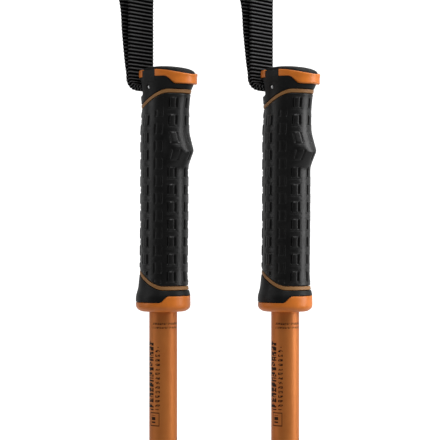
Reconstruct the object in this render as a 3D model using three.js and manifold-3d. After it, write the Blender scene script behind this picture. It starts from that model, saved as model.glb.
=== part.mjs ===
// A pair of two-piece adjustable snow poles, hanging by their wrist straps side by side.
// Millimetres, +Z up. The origin is on the rail the straps hang from, halfway between them.
// Each pole is built in its own frame: +X is the grip's front, Y runs across the grip, and the
// shaft's axis is the Z axis, with Z = 0 at the end of the steel tip. Its frame is then turned
// about Z and set so that the top of its strap is on the rail.
import * as THREE from "three";
import { mergeVertices } from "three/addons/utils/BufferGeometryUtils.js";
import Module from "manifold-3d";

const wasm = await Module();
wasm.setup();

// ---- Driving dimensions ------------------------------------------------------------------
const POLE_SPACING = 78.4; // between the two shaft axes
const GRIP_TURN = 38; // degrees from +X towards -Y that each grip's front is turned
const GAP = 0.3; // between pieces that touch
const ROUND = 24; // sides of a full-size round piece
const SMALL_ROUND = 16; // sides of a pin, a screw or a bush

const GRIP_BASE = 893; // height of the grip's lower end over the tip
const GRIP_CORE_R = 11.5; // the hard core's outside, under the black skins
const TRIM_HALF = 1.15; // half the height of a trim line
const TRIM_PROUD = 0.2;
const RING_TOP = 154.4; // top of the head ring behind the axis, over the grip's base
const RING_FALL = 0.0055; // fall of the head ring's top, by the square of the distance forward
const DOME_TOP = 157;
const LEDGE_PEAK = 102; // height of the finger ledge's crest at the front
const LEDGE_OUT = 5.2; // how far the crest stands out

const SHAFT_R = 9;
const SHAFT_WALL = 0.7;
const SHAFT_TOP = 134; // top of the upper shaft, over the grip's base
const CLAMP_SEAT = 214; // height of the upper shaft's lower end
const LOWER_R = 7.9;
const LOWER_WALL = 0.8;
const LOWER_BOTTOM = 62;
const LOWER_TOP = 560;

const PIN_HEIGHT = 143.1; // strap pin, over the grip's base
const PIN_R = 1.25;
const BUSH_R = 2;
const WEB_WIDTH = 24;
const WEB_THICK = 1.8;
const BEND_CENTRE = [-12.4, 151]; // of the strap's upward bend behind the head
const BEND_R = 7.45; // to the middle of the doubled webbing

const BASKET_R = 23.5;
const BASKET_HOLES = 6;

// Stations up the grip: height, half depth, half width, forward offset.
const GRIP_STATIONS = [
  [0, 14.6, 14.6, 0],
  [1.4, 16.9, 16.9, 0],
  [3.2, 17.6, 17.6, 0],
  [10, 17.5, 17.4, 0],
  [15, 16.6, 15.2, 0.1],
  [20, 16.2, 14.8, 0.2],
  [25, 15.8, 14.3, 0.4],
  [60, 15.8, 14.3, 0.45],
  [115, 15.8, 14.3, 0.5],
  [120, 16.0, 14.4, 1.4],
  [128, 15.8, 14.2, 1.9],
  [136, 16.5, 14.4, 1.9],
  [142, 17.6, 14.7, 2.3],
  [146, 19.0, 15.2, 3.2],
  [150, 20.1, 15.8, 4.2],
  [158, 20.2, 15.8, 4.2],
];

// ---- Materials ---------------------------------------------------------------------------
const finish = (color, roughness, metalness) =>
  new THREE.MeshStandardMaterial({ color, roughness, metalness });
const ORANGE_PLASTIC = finish(0xd4741c, 0.45, 0);
const BLACK_PLASTIC = finish(0x1c1c1d, 0.5, 0);
const BLACK_RUBBER = finish(0x202021, 0.75, 0);
const WEBBING = finish(0x18181a, 0.9, 0);
const ANODISED = finish(0xa8642c, 0.35, 0.8);
const STEEL = finish(0xb9bcc0, 0.3, 1);
const PALE_PLASTIC = finish(0xc9c9c4, 0.5, 0);

// ---- Solids ------------------------------------------------------------------------------
const degrees = THREE.MathUtils.degToRad;
const { smoothstep, clamp, mapLinear } = THREE.MathUtils;

// A closed geometry as a manifold-3d solid that faces outwards.
function solid(geometry) {
  const bare = new THREE.BufferGeometry();
  bare.setAttribute("position", geometry.getAttribute("position").clone());
  if (geometry.index) bare.setIndex(geometry.index.clone());
  const merged = mergeVertices(bare, 1e-4);
  const faces = [];
  const index = merged.index.array;
  for (let i = 0; i < index.length; i += 3) {
    const [a, b, c] = index.slice(i, i + 3);
    if (a !== b && b !== c && c !== a) faces.push(a, b, c);
  }
  const make = (order) =>
    new wasm.Manifold(
      new wasm.Mesh({
        numProp: 3,
        vertProperties: merged.attributes.position.array,
        triVerts: new Uint32Array(order),
      }),
    );
  const made = make(faces);
  return made.volume() > 0 ? made : make(faces.reverse());
}

// A manifold-3d solid as a flat-shaded geometry.
function geometryOf(made) {
  const { vertProperties, triVerts, numProp } = made.getMesh();
  const positions = [];
  for (let i = 0; i < vertProperties.length; i += numProp) {
    positions.push(...vertProperties.subarray(i, i + 3));
  }
  const geometry = new THREE.BufferGeometry();
  geometry.setAttribute("position", new THREE.Float32BufferAttribute(positions, 3));
  geometry.setIndex([...triVerts]);
  const flat = geometry.toNonIndexed();
  flat.computeVertexNormals();
  return flat;
}

// A solid turned about Z from [radius, height] points: closed on itself, or ending on the axis.
function turned(profile, sides = ROUND) {
  const closes = profile[0][0] > 0 || profile.at(-1)[0] > 0;
  const points = (closes ? [...profile, profile[0]] : profile).map(
    ([r, z]) => new THREE.Vector2(r, z),
  );
  return solid(new THREE.LatheGeometry(points, sides).rotateX(Math.PI / 2));
}

const tube = (outer, inner, low, high, sides = ROUND) =>
  turned([[inner, low], [outer, low], [outer, high], [inner, high]], sides);

const rod = (radius, low, high, sides = SMALL_ROUND) =>
  turned([[0, low], [radius, low], [radius, high], [0, high]], sides);

// A round bar along Y, from y = low to y = high, through the point (x, z).
function crossBar(radius, low, high, x, z, sides = SMALL_ROUND) {
  const bar = new THREE.CylinderGeometry(radius, radius, high - low, sides);
  return solid(bar.translate(x, (low + high) / 2, z));
}

function block([x0, y0, z0], [x1, y1, z1]) {
  const box = new THREE.BoxGeometry(x1 - x0, y1 - y0, z1 - z0);
  return solid(box.translate((x0 + x1) / 2, (y0 + y1) / 2, (z0 + z1) / 2));
}

// A flat outline in X and Z, given depth along Y about the middle plane.
function acrossGrip(shape, width) {
  const made = new THREE.ExtrudeGeometry(shape, { depth: width, bevelEnabled: false });
  return solid(made.rotateX(Math.PI / 2).translate(0, width / 2, 0));
}

// A flat outline in X and Y, raised from one height to another.
function raised(points, low, high) {
  const shape = new THREE.Shape(points.map(([x, y]) => new THREE.Vector2(x, y)));
  const made = new THREE.ExtrudeGeometry(shape, { depth: high - low, bevelEnabled: false });
  return solid(made.translate(0, 0, low));
}

// A skin over loops of points with the same count: closed round on itself, or capped at its ends.
function loft(loops, closed) {
  const count = loops[0].length;
  const positions = loops.flat().flatMap((p) => p.toArray());
  const faces = [];
  const strips = closed ? loops.length : loops.length - 1;
  for (let row = 0; row < strips; row += 1) {
    const here = row * count;
    const next = ((row + 1) % loops.length) * count;
    for (let i = 0; i < count; i += 1) {
      const j = (i + 1) % count;
      faces.push(here + i, here + j, next + j, here + i, next + j, next + i);
    }
  }
  if (!closed) {
    const last = (loops.length - 1) * count;
    for (let i = 1; i < count - 1; i += 1) {
      faces.push(0, i + 1, i, last, last + i, last + i + 1);
    }
  }
  const geometry = new THREE.BufferGeometry();
  geometry.setAttribute("position", new THREE.Float32BufferAttribute(positions, 3));
  geometry.setIndex(faces);
  return solid(geometry);
}

// ---- The grip's shape --------------------------------------------------------------------
// Angles run round the grip from its front, in degrees. Every skin has its points at the same
// angles, with a pair on each side where the head ring and the collar step down.
const STEPS = [38, 62];
const STATION_ANGLES = [...STEPS, ...STEPS.map((a) => 360 - a)];
for (let a = 0; a < 360; a += 18) {
  if (STATION_ANGLES.every((b) => Math.abs(a - b) > 4)) STATION_ANGLES.push(a);
}
STATION_ANGLES.sort((a, b) => a - b);
const fromFront = (angle) => Math.min(angle, 360 - angle);

function station(height) {
  const upper = clamp(
    GRIP_STATIONS.findIndex(([h]) => h >= height),
    1,
    GRIP_STATIONS.length - 1,
  );
  const [below, above] = [GRIP_STATIONS[upper - 1], GRIP_STATIONS[upper]];
  const share = (height - below[0]) / (above[0] - below[0]);
  return below.map((value, i) => value + share * (above[i] - value)).slice(1);
}

// How far the finger ledge stands out at an angle and height. Its crest rises to the sides.
function ledge(angle, height) {
  const side = fromFront(angle) / 56;
  if (side >= 1) return 0;
  const over = height - LEDGE_PEAK - 3 * side ** 2;
  const rise = over > 0 ? (1 - over / 17) ** 1.3 : (1 + over / 11) ** 1.1;
  return over > 17 || over < -11 ? 0 : LEDGE_OUT * rise * (1 - side ** 4);
}

// A point on the grip's outside, moved out by proud.
function skin(angle, height, proud = 0) {
  const [depth, width, offset] = station(height);
  const a = degrees(angle);
  return new THREE.Vector3(
    offset + (depth + proud) * Math.cos(a) + ledge(angle, height),
    (width + proud) * Math.sin(a),
    GRIP_BASE + height,
  );
}

const onCircle = (angle, radius, height) =>
  new THREE.Vector3(
    radius * Math.cos(degrees(angle)),
    radius * Math.sin(degrees(angle)),
    GRIP_BASE + height,
  );

// The share of the way from a trim line's front level to its back level.
const towardsBack = (angle) => smoothstep(fromFront(angle), 50, 140);
const upperTrim = (angle) => 140.4 - 9.2 * towardsBack(angle);
const lowerTrim = (angle) => 15.1 + 10 * towardsBack(angle);
const stepBetween = (angle, from, to, front, side) =>
  mapLinear(clamp(fromFront(angle), from, to), from, to, front, side);
const collarTop = (angle) => stepBetween(angle, ...STEPS, 10.1, 5.9);
const ringBottom = (angle) => stepBetween(angle, ...STEPS, 145.2, 149.8);
const ringTop = (point) => RING_TOP - RING_FALL * Math.max(point.x, 0) ** 2;

// A band of the grip's skin between two heights that may vary with the angle.
function band(low, high, rows, inner, proud = 0) {
  const loops = [];
  for (let row = 0; row <= rows; row += 1) {
    loops.push(
      STATION_ANGLES.map((a) => skin(a, low(a) + ((high(a) - low(a)) * row) / rows, proud)),
    );
  }
  loops.push(STATION_ANGLES.map((a) => onCircle(a, inner, high(a))));
  loops.push(STATION_ANGLES.map((a) => onCircle(a, inner, low(a))));
  return loft(loops, true);
}

// Where the black head reaches up through the ring, a cheek on each side, and the room it needs.
const CHEEK = [-5.6, 6.2];
function cheekBlocks(grow) {
  const [x0, x1] = CHEEK;
  const [low, high] = [GRIP_BASE + 145, GRIP_BASE + 160];
  const left = block([x0 - grow, 5, low], [x1 + grow, 30, high]);
  return left.add(block([x0 - grow, -30, low], [x1 + grow, -5, high]));
}

// What the strap needs: a slot that flares a little towards the back, so the pole can swing on
// the pin, and the pin's own hole.
const SLOT_OUTLINE = [
  [4.4, -4.2],
  [4.4, 4.2],
  [-6, 4.2],
  [-17, 6.2],
  [-30, 6.2],
  [-30, -5.8],
  [-12, -5.8],
  [-4, -4.2],
];
const STRAP_SLOT = acrossGrip(
  new THREE.Shape(
    SLOT_OUTLINE.map(([x, z]) => new THREE.Vector2(x, GRIP_BASE + PIN_HEIGHT + z)),
  ),
  WEB_WIDTH + 1,
);
const PIN_HOLE = crossBar(PIN_R + GAP, -25, 25, 0, GRIP_BASE + PIN_HEIGHT);

// The solids of the core's bands. The black skins are cut with the same solids, grown by a gap.
function trimBand(trim, grow = 0) {
  const low = (a) => trim(a) - TRIM_HALF - grow;
  const high = (a) => trim(a) + TRIM_HALF + grow;
  return band(low, high, 1, GRIP_CORE_R - 1, TRIM_PROUD);
}

const baseCollar = (grow = 0) => band(() => 0, (a) => collarTop(a) + grow, 4, SHAFT_R + GAP, grow);

function headRing(grow = 0) {
  const loops = [0, 0.6].map((rise) =>
    STATION_ANGLES.map((a) => {
      const point = skin(a, Math.max(ringBottom(a), 149.3), rise / 2 + grow);
      point.z = GRIP_BASE + ringBottom(a) + rise - grow;
      return point;
    }),
  );
  const rim = STATION_ANGLES.map((a) => skin(a, RING_TOP, 0.3 + grow));
  rim.forEach((p) => (p.z = GRIP_BASE + ringTop(p)));
  loops.push(rim);
  loops.push(STATION_ANGLES.map((a) => onCircle(a, GRIP_CORE_R - 1, 152)));
  loops.push(STATION_ANGLES.map((a) => onCircle(a, GRIP_CORE_R - 1, ringBottom(a) - grow)));
  return loft(loops, true);
}

function gripCore() {
  let core = tube(GRIP_CORE_R, SHAFT_R + GAP, GRIP_BASE, GRIP_BASE + SHAFT_TOP + 3.3);
  core = core.add(rod(GRIP_CORE_R, GRIP_BASE + SHAFT_TOP + 3.2, GRIP_BASE + 152, ROUND));
  const room = cheekBlocks(GAP).subtract(rod(GRIP_CORE_R + GAP, GRIP_BASE, GRIP_BASE + 170, ROUND));
  const ring = headRing().subtract(room);
  core = core.add(trimBand(upperTrim)).add(trimBand(lowerTrim)).add(baseCollar()).add(ring);
  return core.subtract(STRAP_SLOT).subtract(PIN_HOLE);
}

function headShell() {
  let shell = band(upperTrim, (a) => ringBottom(a) + 0.5, 3, GRIP_CORE_R + GAP);
  shell = shell.subtract(trimBand(upperTrim, GAP)).subtract(headRing(GAP));
  const cheeks = band(() => 148, () => 153.9, 1, GRIP_CORE_R + 2 * GAP, 0.1);
  shell = shell.add(cheeks.intersect(cheekBlocks(0)));
  const height = GRIP_BASE + PIN_HEIGHT;
  shell = shell.subtract(crossBar(1.8, 14.6, 20, 0, height)).subtract(crossBar(1.8, -20, -14.6, 0, height));
  return shell.subtract(STRAP_SLOT).subtract(PIN_HOLE);
}

function gripSleeve() {
  const sleeve = band(lowerTrim, upperTrim, 11, GRIP_CORE_R + GAP);
  return sleeve.subtract(trimBand(lowerTrim, GAP)).subtract(trimBand(upperTrim, GAP));
}

function lowerCuff() {
  const cuff = band(collarTop, lowerTrim, 2, GRIP_CORE_R + GAP);
  return cuff.subtract(trimBand(lowerTrim, GAP)).subtract(baseCollar(GAP));
}

function topCap() {
  const rim = STATION_ANGLES.map((a) => skin(a, RING_TOP, -0.4));
  rim.forEach((p) => (p.z = GRIP_BASE + ringTop(p) + GAP));
  const [, , offset] = station(RING_TOP);
  const shrunk = (share, height) =>
    rim.map((p) => new THREE.Vector3(offset + (p.x - offset) * share, p.y * share, height(p)));
  const top = GRIP_BASE + DOME_TOP;
  return loft(
    [
      shrunk(0.8, (p) => p.z),
      rim,
      shrunk(0.99, (p) => p.z + 1),
      shrunk(0.75, (p) => mapLinear(0.6, 0, 1, p.z + 1, top)),
      shrunk(0.4, () => top),
    ],
    false,
  );
}

// ---- The strap and its anchor ------------------------------------------------------------
const strapPin = () => crossBar(PIN_R, -14.4, 14.4, 0, GRIP_BASE + PIN_HEIGHT);

function strapBush() {
  const outside = crossBar(BUSH_R, -WEB_WIDTH / 2, WEB_WIDTH / 2, 0, GRIP_BASE + PIN_HEIGHT);
  return outside.subtract(PIN_HOLE);
}

// The outline of a strip of even thickness along a line of [x, z] points.
function stripOutline(line, thick, closed = false) {
  const side = (sign) =>
    line.map(([x, z], i) => {
      const last = line.length - 1;
      const [ax, az] = line[i > 0 ? i - 1 : closed ? last : 0];
      const [bx, bz] = line[i < last ? i + 1 : closed ? 0 : last];
      const length = Math.hypot(bx - ax, bz - az);
      const [nx, nz] = [(az - bz) / length, (bx - ax) / length];
      return new THREE.Vector2(x + (sign * nx * thick) / 2, z + (sign * nz * thick) / 2);
    });
  return [side(1), side(-1)];
}

// The doubled webbing inside the head: round the bush, out of the slot and up its bend.
function strapAnchor() {
  const level = GRIP_BASE + PIN_HEIGHT;
  const line = [[-2, level - 0.9], [-6, level - 0.6]];
  for (let a = 262; a >= 190; a -= 12) {
    line.push([
      BEND_CENTRE[0] + BEND_R * Math.cos(degrees(a)),
      GRIP_BASE + BEND_CENTRE[1] + BEND_R * Math.sin(degrees(a)),
    ]);
  }
  const [one, two] = stripOutline(line, 2 * WEB_THICK);
  const strip = acrossGrip(new THREE.Shape([...one, ...two.reverse()]), WEB_WIDTH);
  const eye = BUSH_R + 0.2;
  const half = WEB_WIDTH / 2;
  const round = crossBar(eye + WEB_THICK - 0.1, -half, half, 0, level, 20);
  return strip.add(round).subtract(crossBar(eye, -30, 30, 0, level, 20));
}

const STRAP_HINGE = [BEND_CENTRE[0] - BEND_R, GRIP_BASE + 151.9];

const LOOP_TOP = [-17, 193];

// The middle line of the wrist loop, from the front run's foot round to the back run's foot.
const LOOP_LINE = [
  [0.9, 1],
  [0.9, 25],
  [0.95, 48],
  [2, 85],
  [5, 120],
  [6.5, 148],
  [3.5, 172],
  [-5.5, 188],
  LOOP_TOP,
  [-28.5, 186],
  [-34, 168],
  [-33, 142],
  [-26, 108],
  [-16.5, 78],
  [-6.8, 48],
  [-4.6, 28],
  [-2.4, 10],
  [-0.9, 1],
];

function strapLoop() {
  const [x0, z0] = STRAP_HINGE;
  const curve = new THREE.CatmullRomCurve3(
    LOOP_LINE.map(([x, z]) => new THREE.Vector3(x0 + x, z0 + z, 0)),
  );
  const line = curve.getPoints(3 * (LOOP_LINE.length - 1)).map((p) => [p.x, p.y]);
  const [one, two] = stripOutline(line, WEB_THICK);
  const loop = acrossGrip(new THREE.Shape([...one, ...two.reverse()]), WEB_WIDTH);
  const foot = crossBar(WEB_THICK, -WEB_WIDTH / 2, WEB_WIDTH / 2, x0, z0);
  return loop.add(foot);
}

// ---- The shafts --------------------------------------------------------------------------
const upperShaft = () =>
  tube(SHAFT_R, SHAFT_R - SHAFT_WALL, CLAMP_SEAT + GAP, GRIP_BASE + SHAFT_TOP, 24);

function shaftPlug() {
  const top = GRIP_BASE + SHAFT_TOP;
  const stem = SHAFT_R - SHAFT_WALL - GAP;
  return turned([
    [0, top - 22],
    [stem, top - 22],
    [stem, top + GAP],
    [SHAFT_R - 0.2, top + GAP],
    [SHAFT_R - 0.2, top + 2.8],
    [0, top + 2.8],
  ], SMALL_ROUND);
}

const lowerShaft = () => tube(LOWER_R, LOWER_R - LOWER_WALL, LOWER_BOTTOM, LOWER_TOP, 24);

function lowerPlug() {
  const stem = LOWER_R - LOWER_WALL - GAP;
  return turned([
    [0, LOWER_TOP - 15],
    [stem, LOWER_TOP - 15],
    [stem, LOWER_TOP + GAP],
    [LOWER_R, LOWER_TOP + GAP],
    [LOWER_R, LOWER_TOP + 5],
    [0, LOWER_TOP + 6],
  ], SMALL_ROUND);
}

// ---- The length clamp --------------------------------------------------------------------
const CLAMP = { low: 196, high: 240, radius: 13, slitTop: 228 };
const SCREW = { x: -17, z: 213, r: 2 };
const LEVER = { y: -12.3, r: 4.2, low: 204, high: 222, fork: 5.4, pinR: 2.4 };
const EAR = 7; // from the slit's middle plane to an ear's outer face

function clampCollar() {
  const { low, high, radius, slitTop } = CLAMP;
  let collar = turned([
    [9, low],
    [radius - 1.5, low],
    [radius, low + 1.5],
    [radius, high - 6],
    [radius - 2.2, high],
    [SHAFT_R + GAP, high],
    [SHAFT_R + GAP, CLAMP_SEAT],
    [9, CLAMP_SEAT],
  ]);
  const ears = block([-22, -EAR, 203], [-10, EAR, 223]);
  collar = collar.add(ears.subtract(rod(9.3, low - 1, high + 1, ROUND)));
  collar = collar.subtract(block([-30, -1, low - 1], [-7, 1, slitTop]));
  return collar.subtract(crossBar(SCREW.r + 0.4, -12, 12, SCREW.x, SCREW.z));
}

function clampBush() {
  const bush = tube(8.7, 8.2, CLAMP.low + 0.5, CLAMP_SEAT - GAP, 24);
  return bush.subtract(block([-12, -0.8, 190], [0, 0.8, 220]));
}

function tensionScrew() {
  const { x, z, r } = SCREW;
  const screw = crossBar(r, LEVER.y + LEVER.pinR + GAP, EAR + 1, x, z);
  return screw.add(crossBar(5.4, EAR + GAP, EAR + 4.6, x, z, 18));
}

const camWasher = () => {
  const plate = block([SCREW.x - 5, -EAR - 0.8, 205], [SCREW.x + 5, -EAR - GAP, 221]);
  return plate.subtract(crossBar(SCREW.r + GAP, -12, 12, SCREW.x, SCREW.z));
};

const barrelPin = () =>
  rod(LEVER.pinR, LEVER.low - 1, LEVER.high + 1).translate([SCREW.x, LEVER.y, 0]);

// The cam's two discs on the barrel pin, and the arm that wraps round the collar.
function clampLever() {
  const { low, high, r, fork, pinR, y } = LEVER;
  const mid = (low + high) / 2;
  const arm = [];
  const inner = [];
  for (let a = 222; a <= 345; a += 10.25) {
    const share = (a - 222) / 123;
    const point = (radius) => [radius * Math.cos(degrees(a)), radius * Math.sin(degrees(a))];
    arm.push(point(mapLinear(share, 0, 1, 24, 17.2)));
    inner.push(point(mapLinear(share, 0, 1, 19.5, 14.2)));
  }
  const fingerLift = [19.5 * Math.cos(degrees(352)), 19.5 * Math.sin(degrees(352))];
  let lever = raised([...arm, fingerLift, ...inner.reverse()], low, high);
  lever = lever.add(rod(r, low, high, 20).translate([SCREW.x, y, 0]));
  const room = rod(r + 1.2, mid - fork / 2, mid + fork / 2, 20).translate([SCREW.x, y, 0]);
  lever = lever.subtract(room);
  return lever.subtract(rod(pinR + GAP, low - 2, high + 2).translate([SCREW.x, y, 0]));
}

// ---- The tip -----------------------------------------------------------------------------
const FERRULE = { low: 22, seatLow: 46, seatHigh: 60, high: 112, seatR: 7.2 };

function tipFerrule() {
  const { low, seatLow, seatHigh, high, seatR } = FERRULE;
  const body = turned([
    [3.5, low],
    [4.6, low],
    [6.5, seatLow - 3],
    [seatR, seatLow],
    [seatR, seatHigh],
    [10.2, seatHigh],
    [10.2, seatHigh + 3],
    [9.8, seatHigh + 6],
    [9.3, high - 1],
    [9.0, high],
    [LOWER_R + GAP, high],
    [LOWER_R + GAP, LOWER_BOTTOM - GAP],
    [3.5, LOWER_BOTTOM - GAP],
  ]);
  return body;
}

const steelTip = () =>
  turned([[0, 0], [2.4, 0], [3.2, 5], [3.2, 40], [0, 40]], SMALL_ROUND);

function basket() {
  const hub = FERRULE.seatR + GAP;
  let made = turned([
    [hub, 47.3],
    [10.4, 47.3],
    [10.4, 51.5],
    [BASKET_R - 1.5, 54],
    [BASKET_R, 55.5],
    [BASKET_R, 58.5],
    [BASKET_R - 2.5, 57],
    [10.4, 54.6],
    [10.4, 59.6],
    [hub, 59.6],
  ]);
  for (let i = 0; i < BASKET_HOLES; i += 1) {
    const middle = (360 / BASKET_HOLES) * i;
    const corner = ([a, r]) => [
      r * Math.cos(degrees(middle + a)),
      r * Math.sin(degrees(middle + a)),
    ];
    const outline = [[-13, 12.6], [-19, 16.5], [-13, 19.6], [13, 19.6], [19, 16.5], [13, 12.6]];
    made = made.subtract(raised(outline.map(corner), 45, 65));
  }
  return made;
}

const basketClip = () => tube(9.4, FERRULE.seatR - 0.1 + GAP, 44.2, 47, 24);

// ---- The pieces of one pole --------------------------------------------------------------
const PIECES = {
  grip_core: [gripCore, ORANGE_PLASTIC],
  head_shell: [headShell, BLACK_PLASTIC],
  grip_sleeve: [gripSleeve, BLACK_RUBBER],
  lower_cuff: [lowerCuff, BLACK_PLASTIC],
  top_cap: [topCap, BLACK_PLASTIC],
  strap_pin: [strapPin, STEEL],
  strap_bush: [strapBush, PALE_PLASTIC],
  strap_anchor: [strapAnchor, WEBBING],
  strap_loop: [strapLoop, WEBBING],
  upper_shaft: [upperShaft, ANODISED],
  shaft_plug: [shaftPlug, PALE_PLASTIC],
  clamp_collar: [clampCollar, BLACK_PLASTIC],
  clamp_bush: [clampBush, PALE_PLASTIC],
  clamp_lever: [clampLever, BLACK_PLASTIC],
  cam_washer: [camWasher, STEEL],
  barrel_pin: [barrelPin, STEEL],
  tension_screw: [tensionScrew, STEEL],
  lower_shaft: [lowerShaft, ANODISED],
  lower_plug: [lowerPlug, PALE_PLASTIC],
  tip_ferrule: [tipFerrule, BLACK_PLASTIC],
  basket: [basket, BLACK_PLASTIC],
  basket_clip: [basketClip, BLACK_PLASTIC],
  steel_tip: [steelTip, STEEL],
};

const set = new THREE.Group();
const shapes = Object.entries(PIECES).map(([name, [make, material]]) => {
  return [name, geometryOf(make()), material];
});
const turn = -degrees(GRIP_TURN);
const [hangX, hangZ] = [STRAP_HINGE[0] + LOOP_TOP[0], STRAP_HINGE[1] + LOOP_TOP[1] - WEB_THICK / 2];
[-POLE_SPACING / 2, POLE_SPACING / 2].forEach((x, i) => {
  const side = ["left", "right"][i];
  const pole = new THREE.Group();
  pole.position.set(x - hangX * Math.cos(turn), -hangX * Math.sin(turn), -hangZ);
  pole.rotation.z = turn;
  for (const [name, geometry, material] of shapes) {
    const mesh = new THREE.Mesh(geometry, material);
    mesh.name = `${side}_${name}`;
    pole.add(mesh);
  }
  set.add(pole);
});

export default set;
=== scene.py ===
"""A pair of two-piece adjustable snow poles that hang side by side from their wrist straps.

Each pole is built in its own frame in millimetres: +X is the grip's front, Y runs across the
grip, and the shaft's axis is the Z axis, with Z = 0 at the end of the steel tip. A pole's frame
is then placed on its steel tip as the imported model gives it, and every mesh is stored in metres
in the shared frame.
"""

import logging
import math
from dataclasses import dataclass, field
from enum import Enum
from typing import Callable, Iterable, Sequence, Union

import bmesh
import bpy
import numpy as np
from mathutils import Matrix, Vector

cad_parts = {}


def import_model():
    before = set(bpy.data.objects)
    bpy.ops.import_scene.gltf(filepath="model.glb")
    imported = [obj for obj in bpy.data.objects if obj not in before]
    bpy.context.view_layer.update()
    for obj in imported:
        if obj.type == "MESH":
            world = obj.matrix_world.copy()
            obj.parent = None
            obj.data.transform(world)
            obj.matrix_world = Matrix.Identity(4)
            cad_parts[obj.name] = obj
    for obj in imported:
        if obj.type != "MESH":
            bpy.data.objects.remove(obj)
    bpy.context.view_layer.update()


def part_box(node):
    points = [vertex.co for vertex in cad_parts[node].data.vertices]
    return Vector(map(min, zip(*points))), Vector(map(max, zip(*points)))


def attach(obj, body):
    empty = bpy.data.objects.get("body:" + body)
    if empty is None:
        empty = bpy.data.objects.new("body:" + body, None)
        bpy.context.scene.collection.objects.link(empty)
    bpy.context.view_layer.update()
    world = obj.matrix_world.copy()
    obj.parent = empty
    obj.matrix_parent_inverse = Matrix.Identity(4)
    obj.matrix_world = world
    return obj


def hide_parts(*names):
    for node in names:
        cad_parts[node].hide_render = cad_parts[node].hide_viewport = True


LOG = logging.getLogger("snow_poles")
GRIP_TURN = math.radians(38.0)
GRIP_BASE = 893.0
MM = 0.001
Loop = np.ndarray
Socket = bpy.types.NodeSocket


class Side(Enum):
    """Which pole of the pair a piece belongs to."""

    LEFT = "left"
    RIGHT = "right"


# ---- Node trees --------------------------------------------------------------------------
class Term:
    """A number that varies over a surface: an output socket with arithmetic."""

    def __init__(self, graph: "Graph", socket: Socket) -> None:
        """Keep the graph that the socket belongs to.

        Args:
            graph: The graph that new arithmetic nodes go into.
            socket: The output socket.
        """
        self.graph = graph
        self.socket = socket

    def __add__(self, other: "Value") -> "Term":
        """Add."""
        return self.graph.math("ADD", self, other)

    def __sub__(self, other: "Value") -> "Term":
        """Subtract."""
        return self.graph.math("SUBTRACT", self, other)

    def __mul__(self, other: "Value") -> "Term":
        """Multiply."""
        return self.graph.math("MULTIPLY", self, other)

    def __truediv__(self, other: "Value") -> "Term":
        """Divide."""
        return self.graph.math("DIVIDE", self, other)

    def __abs__(self) -> "Term":
        """Take the absolute value."""
        return self.graph.math("ABSOLUTE", self)

    def most(self, other: "Value") -> "Term":
        """Take the larger of two."""
        return self.graph.math("MAXIMUM", self, other)

    def modulo(self, other: "Value") -> "Term":
        """Take the remainder, always positive."""
        return self.graph.math("FLOORED_MODULO", self, other)

    def floor(self) -> "Term":
        """Round down."""
        return self.graph.math("FLOOR", self)

    def power(self, other: "Value") -> "Term":
        """Raise to a power."""
        return self.graph.math("POWER", self, other)

    def ramp(self, start: float, end: float, low: float = 0.0, high: float = 1.0) -> "Term":
        """Go smoothly from low at start to high at end.

        Args:
            start: The input at which the result is low.
            end: The input at which the result is high.
            low: The result up to start.
            high: The result from end on.

        Returns:
            The eased number.
        """
        node = self.graph.add("ShaderNodeMapRange", interpolation_type="SMOOTHSTEP")
        values = (self, start, end, low, high)
        for name, value in zip(("Value", "From Min", "From Max", "To Min", "To Max"), values):
            self.graph.feed(node.inputs[name], value)
        return Term(self.graph, node.outputs["Result"])

    def within(self, low: float, high: float, soft: float) -> "Term":
        """Be 1 between two limits and 0 outside them, with soft edges."""
        return self.ramp(low - soft, low + soft) * self.ramp(high - soft, high + soft, 1.0, 0.0)


Value = Union[Term, Socket, float, Sequence[float]]


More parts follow.
